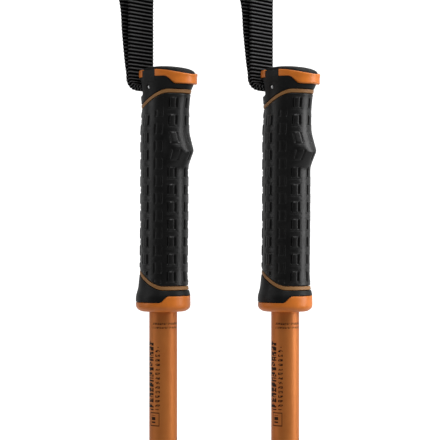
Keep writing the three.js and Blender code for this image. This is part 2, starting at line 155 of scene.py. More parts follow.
class Graph:
    """Adds nodes to a shader tree or a geometry tree."""

    def __init__(self, tree: bpy.types.NodeTree) -> None:
        """Start an empty tree.

        Args:
            tree: The tree to fill; its nodes are cleared.
        """
        self.tree = tree
        tree.nodes.clear()

    def add(self, kind: str, *values: Value, **settings: object) -> bpy.types.Node:
        """Add a node.

        Args:
            kind: The node's class name in Blender.
            *values: What goes into its first inputs, in order.
            **settings: Properties to set on the node.

        Returns:
            The new node.
        """
        node = self.tree.nodes.new(kind)
        count = len(self.tree.nodes)
        node.location = (190 * (count % 9), -230 * (count // 9))
        for name, value in settings.items():
            setattr(node, name, value)
        for socket, value in zip(node.inputs, values):
            self.feed(socket, value)
        return node

    def feed(self, socket: Socket, value: Value) -> None:
        """Link a term or a socket to an input, or set the input's own value."""
        if isinstance(value, Term):
            self.tree.links.new(value.socket, socket)
        elif isinstance(value, bpy.types.NodeSocket):
            self.tree.links.new(value, socket)
        else:
            socket.default_value = value

    def wire(self, node: bpy.types.Node, **inputs: Value) -> bpy.types.Node:
        """Feed several inputs by name, with underscores for spaces."""
        for name, value in inputs.items():
            self.feed(node.inputs[name.replace("_", " ")], value)
        return node

    def math(self, operation: str, *values: Value) -> Term:
        """Add an arithmetic node.

        Args:
            operation: The operation's name in Blender.
            *values: What goes into the node, in order.

        Returns:
            The node's result.
        """
        return Term(self, self.add("ShaderNodeMath", *values, operation=operation).outputs[0])

    def axes(self, vector: Value) -> tuple[Term, Term, Term]:
        """Split a vector into its three numbers."""
        split = self.add("ShaderNodeSeparateXYZ", vector)
        return tuple(Term(self, split.outputs[axis]) for axis in "XYZ")

    def place(self) -> Socket:
        """Give the place in the object's own frame."""
        return self.add("ShaderNodeTexCoord").outputs["Object"]

    def seen(self) -> Term:
        """Be 1 for what the camera sees directly and 0 for light that falls elsewhere."""
        return Term(self, self.add("ShaderNodeLightPath").outputs["Is Camera Ray"])

    def mix(self, factor: Value, one: Value, other: Value) -> Socket:
        """Mix two colours and return the mixed colour."""
        node = self.add("ShaderNodeMix", data_type="RGBA")
        for index, value in ((0, factor), (6, one), (7, other)):
            self.feed(node.inputs[index], value)
        return node.outputs[2]

    def noise(self, vector: Value, scale: Value, detail: float = 2.0) -> Term:
        """Add a noise texture and return its factor."""
        node = self.add("ShaderNodeTexNoise")
        self.wire(node, Vector=vector, Scale=scale, Detail=detail)
        return Term(self, node.outputs[0])


def new_group(name: str, kind: str, inputs: dict, outputs: dict) -> tuple[Graph, dict, dict]:
    """Start a node group with named inputs and outputs.

    Args:
        name: The group's name.
        kind: The tree's class name in Blender.
        inputs: Input name to socket class, or to a pair of socket class and default.
        outputs: Output name to socket class.

    Returns:
        The graph, its input sockets by name, and its output sockets by name.
    """
    tree = bpy.data.node_groups.new(name, kind)
    graph = Graph(tree)
    for label, spec in inputs.items():
        socket_type, default = spec if isinstance(spec, tuple) else (spec, None)
        socket = tree.interface.new_socket(label, in_out="INPUT", socket_type=socket_type)
        if default is not None:
            socket.default_value = default
    for label, socket_type in outputs.items():
        tree.interface.new_socket(label, in_out="OUTPUT", socket_type=socket_type)
    given = graph.add("NodeGroupInput").outputs
    wanted = graph.add("NodeGroupOutput").inputs
    return graph, {k: given[k] for k in inputs}, {k: wanted[k] for k in outputs}


FLOAT = "NodeSocketFloat"
SHAPE = "NodeSocketGeometry"
MATERIAL = "NodeSocketMaterial"


class Effects:
    """Shader groups that several finishes share, each built once."""

    def __init__(self) -> None:
        """Build every group."""
        self.mottle = self._mottle()
        self.pebble = self._pebble()
        self.draw_lines = self._draw_lines()
        self.dust = self._dust()

    @staticmethod
    def _mottle() -> bpy.types.NodeTree:
        """Make slow, uneven patches.

        Returns:
            A group that gives a mask of about 0 to 1 from a scale.
        """
        graph, given, wanted = new_group(
            "Uneven patches", "ShaderNodeTree", {"Scale": (FLOAT, 60.0)}, {"Mask": FLOAT}
        )
        place = graph.place()
        scale = Term(graph, given["Scale"])
        broad = graph.noise(place, scale, 3.0)
        close = graph.noise(place, scale * 5.0, 2.0)
        graph.feed(wanted["Mask"], (broad * 0.65 + close * 0.35).ramp(0.3, 0.7))
        return graph.tree

    @staticmethod
    def _pebble() -> bpy.types.NodeTree:
        """Make the fine relief of a moulded skin.

        Returns:
            A group that gives a height of about 0 to 1 from a scale.
        """
        graph, given, wanted = new_group(
            "Moulded pebble", "ShaderNodeTree", {"Scale": (FLOAT, 2400.0)}, {"Height": FLOAT}
        )
        place = graph.place()
        cells = graph.add("ShaderNodeTexVoronoi", feature="SMOOTH_F1")
        graph.wire(cells, Vector=place, Scale=given["Scale"])
        fine = graph.noise(place, Term(graph, given["Scale"]) * 2.3, 2.0)
        height = Term(graph, cells.outputs["Distance"]) * 0.7 + fine * 0.3
        graph.feed(wanted["Height"], height)
        return graph.tree

    @staticmethod
    def _draw_lines() -> bpy.types.NodeTree:
        """Make the faint lengthwise lines that drawing leaves on a tube.

        Returns:
            A group that gives a height of about 0 to 1.
        """
        graph, given, wanted = new_group(
            "Draw lines", "ShaderNodeTree", {"Fineness": (FLOAT, 1500.0)}, {"Height": FLOAT}
        )
        place = graph.place()
        stretch = graph.add(
            "ShaderNodeVectorMath", place, (1.0, 1.0, 0.012), operation="MULTIPLY"
        )
        graph.feed(wanted["Height"], graph.noise(stretch.outputs[0], given["Fineness"], 3.0))
        return graph.tree

    @staticmethod
    def _dust() -> bpy.types.NodeTree:
        """Make the little dust that lies on what faces up.

        Returns:
            A group that gives a mask from an amount.
        """
        graph, given, wanted = new_group(
            "Settled dust", "ShaderNodeTree", {"Amount": (FLOAT, 0.1)}, {"Mask": FLOAT}
        )
        *_, facing = graph.axes(graph.add("ShaderNodeNewGeometry").outputs["Normal"])
        place = graph.place()
        patchy = graph.noise(place, 350.0, 4.0).ramp(0.35, 0.65)
        up = facing.ramp(0.2, 0.95)
        graph.feed(wanted["Mask"], up * patchy * given["Amount"])
        return graph.tree


# ---- Finishes ----------------------------------------------------------------------------
Colour = tuple[float, float, float]
DUST = (0.32, 0.31, 0.3, 1.0)


def linear(red: int, green: int, blue: int) -> Colour:
    """Turn a colour of 0 to 255 into scene-linear numbers."""

    def one(value: int) -> float:
        """Turn one channel."""
        share = value / 255
        return share / 12.92 if share <= 0.04045 else ((share + 0.055) / 1.055) ** 2.4

    return one(red), one(green), one(blue)


class Painter:
    """Builds one material: colour and roughness with patches, dust and relief."""

    def __init__(self, name: str, effects: Effects) -> None:
        """Start a material.

        Args:
            name: The material's name.
            effects: The shared shader groups.
        """
        self.material = bpy.data.materials.new(name)
        self.material.use_nodes = True
        self.graph = Graph(self.material.node_tree)
        self.effects = effects
        self.shader = self.graph.add("ShaderNodeBsdfPrincipled")
        self.graph.add("ShaderNodeOutputMaterial", self.shader.outputs["BSDF"])

    def effect(self, tree: bpy.types.NodeTree, output: str, **inputs: Value) -> Term:
        """Place a shared group and return one of its outputs."""
        node = self.graph.add("ShaderNodeGroup", node_tree=tree)
        self.graph.wire(node, **inputs)
        return Term(self.graph, node.outputs[output])

    def colour(self, base: Colour, other: Colour, scale: float, dust: float) -> Socket:
        """Vary the colour in patches and lay a little dust on it.

        Args:
            base: The main colour.
            other: The colour that the patches lean to.
            scale: The patches' noise scale.
            dust: How much dust lies on top.

        Returns:
            The colour.
        """
        patches = self.effect(self.effects.mottle, "Mask", Scale=scale)
        mixed = self.graph.mix(patches, (*base, 1.0), (*other, 1.0))
        laid = self.effect(self.effects.dust, "Mask", Amount=dust)
        return self.graph.mix(laid, mixed, DUST)

    def roughness(self, smooth: float, rough: float, scale: float) -> Term:
        """Vary the roughness in patches between two values."""
        patches = self.effect(self.effects.mottle, "Mask", Scale=scale)
        return patches * (rough - smooth) + smooth

    def bump(self, height: Value, depth: float) -> Socket:
        """Turn a height into a normal, with its depth in metres."""
        node = self.graph.add("ShaderNodeBump")
        self.graph.wire(node, Height=height, Distance=depth, Strength=1.0)
        return node.outputs["Normal"]

    def finish(self, **inputs: Value) -> bpy.types.Material:
        """Feed the shader and return the material."""
        self.graph.wire(self.shader, **inputs)
        return self.material


@dataclass(frozen=True)
class MouldedPlastic:
    """A satin moulded plastic or rubber with a fine pebble."""

    name: str
    base: Colour
    other: Colour
    smooth: float = 0.38
    rough: float = 0.5
    relief: float = 0.00002
    pebble: float = 2600.0
    dust: float = 0.05
    sheen: float = 0.0
    specular: float = 0.5

    def make(self, effects: Effects) -> bpy.types.Material:
        """Build the material."""
        paint = Painter(self.name, effects)
        height = paint.effect(effects.pebble, "Height", Scale=self.pebble)
        return paint.finish(
            Base_Color=paint.colour(self.base, self.other, 70.0, self.dust),
            Roughness=paint.roughness(self.smooth, self.rough, 160.0),
            Normal=paint.bump(height, self.relief),
            Sheen_Weight=self.sheen,
            Specular_IOR_Level=self.specular,
        )


# How far the printed edges fade: in degrees, in millimetres and as a share of a mark's pitch.
SOFT_TURN, SOFT_HEIGHT, SOFT_SHARE = 0.6, 0.08, 0.04


@dataclass(frozen=True)
class Print:
    """A block of plain printed marks on a tube: angles in degrees, heights in millimetres."""

    start: float
    end: float
    low: float
    high: float
    pitch: float = 0.0
    fill: float = 0.7
    across: bool = False
    cells: int = 0


@dataclass(frozen=True)
class AnodisedTube:
    """Satin anodised aluminium, with printed bars placed by the tube's own UV map."""

    name: str
    base: Colour
    other: Colour
    ink: Colour = (0.03, 0.014, 0.006)
    prints: tuple[Print, ...] = ()
    smooth: float = 0.4
    rough: float = 0.48
    metallic: float = 0.45

    def make(self, effects: Effects) -> bpy.types.Material:
        """Build the material."""
        paint = Painter(self.name, effects)
        graph = paint.graph
        colour = paint.colour(self.base, self.other, 45.0, 0.02)
        metal: Value = self.metallic
        gloss: Value = 0.5
        if self.prints:
            ink = self._ink(graph)
            colour = graph.mix(ink, colour, (*self.ink, 1.0))
            metal = ink * -self.metallic + self.metallic
            gloss = ink * -0.42 + 0.5
        lines = paint.effect(effects.draw_lines, "Height", Fineness=1600.0)
        return paint.finish(
            Base_Color=colour,
            Metallic=metal,
            Specular_IOR_Level=gloss,
            Roughness=paint.roughness(self.smooth, self.rough, 120.0) + lines * 0.08,
            Normal=paint.bump(lines, 0.000012),
        )

    def _ink(self, graph: Graph) -> Term:
        """Draw the printed bars.

        Args:
            graph: The material's graph.

        Returns:
            A mask that is 1 where there is ink.
        """
        u, v, _ = graph.axes(graph.add("ShaderNodeUVMap", uv_map="UVMap").outputs["UV"])
        angle, height = u * 360.0, v * 1000.0
        total: Union[Term, None] = None
        for block in self.prints:
            mask = angle.within(block.start, block.end, SOFT_TURN)
            mask = mask * height.within(block.low, block.high, SOFT_HEIGHT)
            if block.pitch:
                along = angle if block.across else height
                step = (along / block.pitch).modulo(1.0)
                mask = mask * step.within(0.0, block.fill, SOFT_SHARE)
            if block.cells:
                mask = mask * self._broken(graph, block, angle, height)
            total = mask if total is None else total.most(mask)
        return total

    @staticmethod
    def _broken(graph: Graph, block: Print, angle: Term, height: Term) -> Term:
        """Break a block's marks up into small cells, some of them bare.

        Args:
            graph: The material's graph.
            block: The block of marks.
            angle: Degrees from the front.
            height: Height over the tip, in millimetres.

        Returns:
            A mask that is 1 where the ink stays.
        """
        along, over = (angle, height) if block.across else (height, angle)
        low, high = (block.low, block.high) if block.across else (block.start, block.end)
        column = (along / (block.pitch * block.fill / 3)).floor()
        row = ((over - low) / ((high - low) / block.cells)).floor()
        cell = graph.add("ShaderNodeCombineXYZ", column, row)
        noise = graph.add("ShaderNodeTexWhiteNoise", noise_dimensions="2D")
        graph.feed(noise.inputs["Vector"], cell.outputs[0])
        return Term(graph, noise.outputs["Value"]).ramp(0.28, 0.34)


@dataclass(frozen=True)
class RibbedWebbing:
    """Woven polyester webbing; the ribs are in the mesh, the threads are in the finish, and its
    colour runs from painted shade in the rib gaps to a painted highlight on the crests.
    """

    name: str
    base: Colour
    other: Colour

    def make(self, effects: Effects) -> bpy.types.Material:
        """Build the material."""
        paint = Painter(self.name, effects)
        graph = paint.graph
        u, v, _ = graph.axes(graph.add("ShaderNodeUVMap", uv_map="UVMap").outputs["UV"])
        along, across = u * 1000.0, v * 1000.0
        twist = (across / 0.55 + along * 0.6).modulo(1.0)
        thread = abs(twist - 0.5) * 2.0
        fuzz = graph.noise(graph.place(), 2500.0, 3.0)
        rib = Term(graph, graph.add("ShaderNodeAttribute", attribute_name="rib").outputs["Fac"])
        height = thread * 0.7 + fuzz * 0.3
        # Painted shade and highlight: the mix runs from near black in the gaps between ribs to pale
        # on the crests, and the gaps get no specular.
        shade = rib.power(2.0) * (thread * 0.5 + 0.6) * (fuzz * 0.5 + 0.7)
        colour = graph.mix(shade, (*self.base, 1.0), (*self.other, 1.0))
        return paint.finish(
            Base_Color=colour,
            Roughness=thread * -0.15 + 0.8,
            Normal=paint.bump(height, 0.00012),
            Specular_IOR_Level=rib * 0.32,
        )


@dataclass(frozen=True)
class PlainSteel:
    """Turned or stamped steel with fine marks."""

    name: str
    base: Colour = (0.55, 0.55, 0.56)
    smooth: float = 0.2
    rough: float = 0.34

    def make(self, effects: Effects) -> bpy.types.Material:
        """Build the material."""
        paint = Painter(self.name, effects)
        marks = paint.effect(effects.draw_lines, "Height", Fineness=2600.0)
        return paint.finish(
            Base_Color=paint.colour(self.base, tuple(0.7 * c for c in self.base), 200.0, 0.03),
            Metallic=1.0,
            Roughness=paint.roughness(self.smooth, self.rough, 400.0),
            Normal=paint.bump(marks, 0.00001),
        )


# The printed blocks on the upper shaft: plain bars in place of wording.
SHAFT_PRINTS = (
    Print(-130.0, -93.0, 830.0, 874.4, pitch=3.3, fill=0.8, cells=5),
    Print(-84.0, -64.0, 830.3, 870.5, pitch=2.9, fill=0.5, cells=4),
    Print(-113.0, -110.5, 819.8, 828.6),
    Print(-68.5, -66.0, 819.8, 828.6),
    Print(-113.0, -66.0, 819.8, 820.4),
    Print(-113.0, -66.0, 828.0, 828.6),
    Print(-104.0, -84.0, 821.8, 826.8, pitch=2.9, fill=0.72),
    Print(-99.0, 28.0, 884.6, 885.9, pitch=8.0, fill=0.75, across=True, cells=3),
    Print(-99.0, 28.0, 882.2, 883.3, pitch=7.0, fill=0.75, across=True, cells=3),
    Print(18.0, 27.0, 810.6, 811.7),
)
LENGTH_MARKS = tuple(
    Print(-74.0, -38.0 if i % 5 == 0 else -56.0, 220.0 + 10 * i, 220.8 + 10 * i) for i in range(33)
)


class Finishes:
    """Every finish of the poles, each built once."""

    def __init__(self) -> None:
        """Build the shared effects and then each material."""
        effects = Effects()
        orange = linear(222, 124, 44)
        made = {
            "orange_plastic": MouldedPlastic(
                "Orange plastic", orange, linear(205, 112, 38), 0.34, 0.42, dust=0.02, specular=0.35
            ),
            # Painted shade: the trim lines get a darker, duller copy of the orange plastic, as the
            # orange looks in the grooves between the black skins.
            "trim_plastic": MouldedPlastic(
                "Orange plastic shaded in the trim", linear(150, 106, 58), linear(140, 95, 47), 0.5, 0.6
            ),
            "black_plastic": MouldedPlastic(
                "Black plastic", linear(14, 15, 15), linear(20, 20, 20), 0.42, 0.52, specular=0.2
            ),
            # Painted shade: a darker, duller copy of the black plastic, laid on the cap's top.
            "cap_plastic": MouldedPlastic(
                "Black plastic shaded on the cap", linear(9, 9, 9), linear(14, 14, 14), 0.5, 0.6, specular=0.12
            ),
            "black_rubber": MouldedPlastic(
                "Grip rubber", linear(12, 12, 12), linear(19, 19, 19), 0.34, 0.44,
                relief=0.00003, specular=0.34,
            ),
            "pale_plastic": MouldedPlastic(
                "Natural nylon", linear(205, 205, 198), linear(190, 190, 182), 0.4, 0.5
            ),
            # The webbing's two colours are painted shade in the rib gaps and a painted highlight on
            # the crests.
            "webbing": RibbedWebbing("Ribbed webbing", linear(1, 1, 1), linear(92, 92, 93)),
            "thread": MouldedPlastic(
                "Sewing thread", linear(24, 24, 25), linear(40, 40, 42), 0.6, 0.7, pebble=5200.0
            ),
            "steel": PlainSteel("Plain steel"),
            "upper_tube": AnodisedTube(
                "Anodised upper tube", linear(205, 122, 55), linear(196, 112, 48),
                prints=SHAFT_PRINTS,
            ),
            "lower_tube": AnodisedTube(
                "Anodised lower tube", linear(205, 122, 55), linear(196, 112, 48),
                prints=LENGTH_MARKS,
            ),
        }
        self.materials = {name: finish.make(effects) for name, finish in made.items()}

    def __getitem__(self, name: str) -> bpy.types.Material:
        """Give a material by its short name."""
        return self.materials[name]


# ---- Meshes ------------------------------------------------------------------------------
def full_turn(sides: int) -> np.ndarray:
    """Give the angles of a round's corners, in radians."""
    return np.arange(sides) * 2 * math.pi / sides


def around(radius: float, turn: np.ndarray, height: Union[float, np.ndarray]) -> Loop:
    """Give a ring of points about the shaft's axis."""
    level = np.broadcast_to(height, turn.shape)
    return np.stack([radius * np.cos(turn), radius * np.sin(turn), level], axis=1)


def cross_rings(
    profile: Iterable[tuple], middle: tuple[float, float], turn: np.ndarray
) -> list[Loop]:
    """Give rings of points about a line along Y.

    Args:
        profile: A radius and a place along Y for each ring.
        middle: The line's X and Z.
        turn: The angles of the rings' corners.

    Returns:
        The rings.
    """
    x, z = middle
    return [
        np.stack([x + r * np.cos(turn), np.full(len(turn), y), z + r * np.sin(turn)], axis=1)
        for r, y in profile
    ]


def arc(
    middle: tuple[float, float], radius: float, turns: Iterable[float]
) -> list[tuple[float, float]]:
    """Give points at a radius from a middle, at angles in degrees."""
    return [
        (middle[0] + radius * math.cos(at), middle[1] + radius * math.sin(at))
        for at in map(math.radians, turns)
    ]


def rectangle(x0: float, x1: float, y0: float, y1: float) -> list[tuple[float, float]]:
    """Give a rectangle's corners."""
    return [(x0, y0), (x1, y0), (x1, y1), (x0, y1)]


class Bench:
    """Makes mesh objects of one pole and hands them to the frame."""

    def __init__(self, side: Side, finishes: Finishes) -> None:
        """Place the pole's frame on its steel tip.

        Args:
            side: Which pole of the pair this is.
            finishes: The materials.
        """
        low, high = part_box(f"{side.value}_steel_tip")
        foot = Vector(((low.x + high.x) / 2, (low.y + high.y) / 2, low.z))
        self.side = side
        self.finishes = finishes
        self.place = (
            Matrix.Translation(foot) @ Matrix.Rotation(-GRIP_TURN, 4, "Z") @ Matrix.Scale(MM, 4)
        )

    def body(self, name: str) -> str:
        """Give the full name of one of this pole's bodies."""
        return name if name == "straps" else f"{self.side.value}_{name}"

    def mesh(
        self, name: str, points: np.ndarray, faces: Iterable[Sequence[int]]
    ) -> bpy.types.Object:
        """Make an object from points in the pole's frame, still in millimetres.

        Args:
            name: The piece's name, without its side.
            points: The points, one row each.
            faces: The faces as point numbers.

        Returns:
            The new object.
        """
        data = bpy.data.meshes.new(f"{self.side.value}_{name}")
        data.from_pydata([tuple(p) for p in np.asarray(points).reshape(-1, 3)], [], list(faces))
        data.validate()
        made = bpy.data.objects.new(data.name, data)
        bpy.context.scene.collection.objects.link(made)
        return made

    def loft(self, name: str, loops: Sequence[Loop], closed: bool) -> bpy.types.Object:
        """Skin over loops of the same count: closed round on itself, or capped at its ends."""
        rows, count = len(loops), len(loops[0])
        index = np.arange(rows * count).reshape(rows, count)
        here = index if closed else index[:-1]
        above = np.roll(index, -1, axis=0) if closed else index[1:]
        quads = np.stack(
            [here, np.roll(here, -1, axis=1), np.roll(above, -1, axis=1), above], axis=-1
        ).reshape(-1, 4)
        faces = quads.tolist()
        if not closed:
            faces += [index[0][::-1].tolist(), index[-1].tolist()]
        return self.mesh(name, np.concatenate(loops), faces)

    def lathe(
        self, name: str, profile: Sequence[tuple], sides: int = 96,
        at: tuple[float, float] = (0.0, 0.0),
    ) -> bpy.types.Object:
        """Turn [radius, height] points about the shaft's axis, or one beside it.

        Args:
            name: The piece's name, without its side.
            profile: The section, closed on itself, or with both ends on the axis.
            sides: How many sides the round has.
            at: Where the axis stands in X and Y.

        Returns:
            The new object, with its faces outwards.
        """
        turn = full_turn(sides)
        closed = profile[0][0] > 0 and profile[-1][0] > 0
        made = self.loft(name, [around(r, turn, z) for r, z in profile], closed)
        if not closed:
            weld(made, 1e-4)
        outward(made)
        if any(at):
            made.data.transform(Matrix.Translation((*at, 0)))
        return made

    def rod(
        self, name: str, profile: Sequence[tuple], middle: tuple[float, float], sides: int = 32
    ) -> bpy.types.Object:
        """Turn [radius, Y] points about a line across the grip.

        Args:
            name: The piece's name, without its side.
            profile: The section, from one end to the other.
            middle: The line's X and Z.
            sides: How many sides the round has.

        Returns:
            The new object, with its faces outwards.
        """
        made = self.loft(name, cross_rings(profile, middle, full_turn(sides)), False)
        if profile[0][0] == 0:
            weld(made, 1e-3)
        outward(made)
        return made

    def outline(
        self, name: str, points: Sequence[tuple], low: float, high: float, across: bool = False
    ) -> bpy.types.Object:
        """Raise a flat outline between two levels.

        Args:
            name: The piece's name, without its side.
            points: The outline in X and Y, or in X and Z if it is given depth across the grip.
            low: The lower level.
            high: The upper level.
            across: Whether the outline is given depth along Y.

        Returns:
            The new object, with its faces outwards.
        """
        flat = np.array(points, float)
        loops = []
        for level in (low, high):
            column = np.full(len(flat), level)
            parts = (flat[:, 0], column, flat[:, 1]) if across else (flat[:, 0], flat[:, 1], column)
            loops.append(np.stack(parts, axis=1))
        made = self.loft(name, loops, False)
        outward(made)
        return made

    def settle(
        self, piece: bpy.types.Object, finish: str, body: str, stands_for: Sequence[str] = (),
        smooth: float = 32.0, slot: str = "",
    ) -> bpy.types.Object:
        """Apply what is left, place the mesh, paint it and hand it to the frame.

        Args:
            piece: The piece, in the pole's frame.
            finish: The short name of its material, or "" if it already has materials.
            body: The body it rides on, without its side.
            stands_for: CAD nodes it stands for, without their side.
            smooth: The angle in degrees under which an edge is shaded smooth.
            slot: The record's material slot, if it isn't the finish's name; not used.

        Returns:
            The finished piece.
        """
        bake(piece)
        data = piece.data
        data.transform(self.place)
        data.polygons.foreach_set("use_smooth", [True] * len(data.polygons))
        data.set_sharp_from_angle(angle=math.radians(smooth))
        if finish:
            data.materials.clear()
            data.materials.append(self.finishes[finish])
        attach(piece, self.body(body))
        if stands_for:
            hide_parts(*[f"{self.side.value}_{node}" for node in stands_for])
        LOG.info("%s: %d faces on %s", piece.name, len(data.polygons), self.body(body))
        return piece

    def dress_node(self, node: str, finish: str) -> None:
        """Give a carried-over CAD node its material."""
        name = f"{self.side.value}_{node}"
        data = bpy.data.objects[name].data
        data.materials.clear()
        data.materials.append(self.finishes[finish])
        LOG.info("%s: carried over", name)


def bake(piece: bpy.types.Object) -> None:
    """Turn a piece's modifiers into plain mesh and remove them."""
    if not piece.modifiers:
        return
    graph = bpy.context.evaluated_depsgraph_get()
    data = bpy.data.meshes.new_from_object(piece.evaluated_get(graph))
    name = piece.data.name
    old = piece.data
    piece.modifiers.clear()
    piece.data = data
    bpy.data.meshes.remove(old)
    data.name = name


def weld(piece: bpy.types.Object, distance: float) -> None:
    """Merge points that lie together."""
    work = bmesh.new()
    work.from_mesh(piece.data)
    bmesh.ops.remove_doubles(work, verts=work.verts, dist=distance)
    work.to_mesh(piece.data)
    work.free()


def outward(piece: bpy.types.Object) -> None:
    """Turn a closed mesh's faces outwards."""
    work = bmesh.new()
    work.from_mesh(piece.data)
    bmesh.ops.recalc_face_normals(work, faces=work.faces)
    if work.calc_volume(signed=True) < 0:
        bmesh.ops.reverse_faces(work, faces=work.faces)
    work.to_mesh(piece.data)
    work.free()


def bevel(piece: bpy.types.Object, width: float, segments: int = 3, angle: float = 35.0) -> None:
    """Round a piece's edges."""
    made = piece.modifiers.new("Rounding", "BEVEL")
    made.width, made.segments = width, segments
    made.limit_method, made.angle_limit = "ANGLE", math.radians(angle)
    made.harden_normals = False
    bake(piece)


def carve(piece: bpy.types.Object, tool: bpy.types.Object, operation: str = "DIFFERENCE") -> None:
    """Cut a piece with a tool, or join the tool to it, and throw the tool away."""
    made = piece.modifiers.new("Cut", "BOOLEAN")
    made.object, made.operation, made.solver = tool, operation, "MANIFOLD"
    bake(piece)
    data = tool.data
    bpy.data.objects.remove(tool)
    bpy.data.meshes.remove(data)


def run_nodes(
    piece: bpy.types.Object, tree: bpy.types.NodeTree, values: dict[str, object]
) -> None:
    """Run a geometry tree on a piece and keep the plain mesh.

    Args:
        piece: The object that the tree works on.
        tree: The geometry node tree.
        values: The tree's inputs by name.
    """
    modifier = piece.modifiers.new(tree.name, "NODES")
    modifier.node_group = tree
    keys = {s.name: s.identifier for s in tree.interface.items_tree if s.in_out == "INPUT"}
    for name, value in values.items():
        modifier[keys[name]] = value
    bake(piece)


def set_numbers(piece: bpy.types.Object, name: str, values: np.ndarray) -> None:
    """Store one number a point on a mesh."""
    attribute = piece.data.attributes.new(name, "FLOAT", "POINT")
    attribute.data.foreach_set("value", np.asarray(values, np.float32).ravel())


def set_uv(piece: bpy.types.Object, chart: Callable[[np.ndarray], np.ndarray]) -> None:
    """Give a mesh a UV map from its points.

    Args:
        piece: The object.
        chart: Turns the points of every corner, face by face, into U and V.
    """
    data = piece.data
    points = np.empty(len(data.vertices) * 3)
    data.vertices.foreach_get("co", points)
    corners = np.empty(len(data.loops), int)
    data.loops.foreach_get("vertex_index", corners)
    layer = data.uv_layers.get("UVMap") or data.uv_layers.new(name="UVMap")
    layer.data.foreach_set("uv", chart(points.reshape(-1, 3)[corners]).ravel())


# ---- Geometry node trees -----------------------------------------------------------------
class Patterns:
    """Geometry trees for what repeats, each built once."""

    def __init__(self) -> None:
        """Build every tree."""
        self.tread = self._tread()
        self.ribs = self._ribs()
        self.stitches = self._stitches()
        self.knurl = self._knurl()

    @staticmethod
    def _numbered(graph: Graph, name: str) -> Term:
        """Read a number that the mesh carries."""
        node = graph.add("GeometryNodeInputNamedAttribute", data_type="FLOAT")
        node.inputs["Name"].default_value = name
        return Term(graph, node.outputs["Attribute"])

    @staticmethod
    def _push(graph: Graph, shape: Socket, distance: Term) -> Socket:
        """Move a mesh's points along their normals.

        Args:
            graph: The tree.
            shape: The mesh.
            distance: How far each point moves.

        Returns:
            The moved mesh.
        """
        normal = graph.add("GeometryNodeInputNormal").outputs[0]
        scale = graph.add("ShaderNodeVectorMath", normal, operation="SCALE")
        graph.wire(scale, Scale=distance)
        move = graph.wire(
            graph.add("GeometryNodeSetPosition", shape), Offset=scale.outputs[0]
        )
        return move.outputs[0]

    @staticmethod
    def _close(graph: Graph, shape: Socket, material: Socket, result: Socket) -> None:
        """End a tree: realize what is instanced and set the material."""
        real = graph.add("GeometryNodeRealizeInstances", shape)
        paint = graph.add("GeometryNodeSetMaterial", real.outputs[0])
        graph.wire(paint, Material=material)
        graph.feed(result, paint.outputs[0])

    def _tread(self) -> bpy.types.NodeTree:
        """Weave upright and level bars round the grip.

        Returns:
            A tree that reads the numbers turn, rise, edge and amount of a sleeve.
        """
        graph, given, wanted = new_group(
            "Woven tread",
            "GeometryNodeTree",
            {
                "Sleeve": SHAPE,
                "Column Start": (FLOAT, 3.0),
                "Column Step": (FLOAT, 36.0),
                "Row Step": (FLOAT, 11.05),
                "Degree Length": (FLOAT, 0.264),
                "Bar Width": (FLOAT, 4.4),
                "Bar Length": (FLOAT, 6.6),
                "Groove Depth": (FLOAT, 0.8),
                "Crown": (FLOAT, 0.35),
                "Phase": (FLOAT, 0.0),
                "Material": MATERIAL,
            },
            {"Sleeve": SHAPE},
        )
        turn = self._numbered(graph, "turn") - given["Column Start"]
        rise, edge, amount = (self._numbered(graph, name) for name in ("rise", "edge", "amount"))
        step = Term(graph, given["Column Step"])
        row = Term(graph, given["Row Step"])
        half_bar = Term(graph, given["Bar Width"]) * 0.5
        column = (turn / step).floor()
        across = abs((turn - (column + 0.5) * step) * given["Degree Length"])
        shifted = rise + row * 0.5 * column.modulo(2.0) - given["Phase"]
        along = shifted.modulo(row)
        middle = Term(graph, given["Bar Length"]) * 0.5
        up = abs(along - middle)
        bar = (up - middle).ramp(-0.35, 0.15, 1.0, 0.0)
        beside = abs(across - half_bar).ramp(0.15, 0.62, 1.0, 0.0) * bar
        cross_middle = (row + given["Bar Length"]) * 0.5
        level = abs(abs(along - cross_middle) - 1.45).ramp(0.1, 0.5, 1.0, 0.0)
        level = level * across.ramp(3.7, 4.2, 1.0, 0.0) * 0.16
        crown = (across / half_bar).power(2.0) * -1.0 + 1.0
        crown = crown.most(0.0) * bar * given["Crown"]
        low_crown = (across / 4.2).power(2.0) * -1.0 + 1.0
        in_cross = abs(along - cross_middle).ramp(1.1, 1.5, 1.0, 0.0)
        crown = crown + low_crown.most(0.0) * in_cross * given["Crown"] * 0.12
        relief = crown - beside.most(level) * given["Groove Depth"]
        relief = relief * edge.ramp(0.8, 2.2) * amount
        self._close(
            graph, self._push(graph, given["Sleeve"], relief), given["Material"], wanted["Sleeve"]
        )
        return graph.tree

    def _ribs(self) -> bpy.types.NodeTree:
        """Raise ribs across a webbing and store how high each point is on its rib.

        Returns:
            A tree that reads the numbers along, across and face of a webbing strip.
        """
        graph, given, wanted = new_group(
            "Webbing ribs",
            "GeometryNodeTree",
            {
                "Strip": SHAPE,
                "Rib Pitch": (FLOAT, 2.4),
                "Rib Height": (FLOAT, 0.5),
                "Material": MATERIAL,
            },
            {"Strip": SHAPE},
        )
        along, across, face = (
            self._numbered(graph, name) for name in ("along", "across", "face")
        )
        wave = (along / given["Rib Pitch"] + across * 0.004).modulo(1.0)
        hump = abs(wave - 0.5).ramp(0.04, 0.28, 1.0, 0.0)
        wobble = abs((across / 0.9).modulo(2.0) - 1.0) * 0.2 + 0.8
        # The finish reads this number to paint shade into the gaps between ribs and a highlight
        # onto the crests.
        store = graph.add("GeometryNodeStoreNamedAttribute", data_type="FLOAT", domain="POINT")
        graph.wire(store, Geometry=given["Strip"], Name="rib", Value=hump)
        raised = hump * wobble * face * given["Rib Height"]
        self._close(
            graph, self._push(graph, store.outputs[0], raised), given["Material"], wanted["Strip"]
        )
        return graph.tree

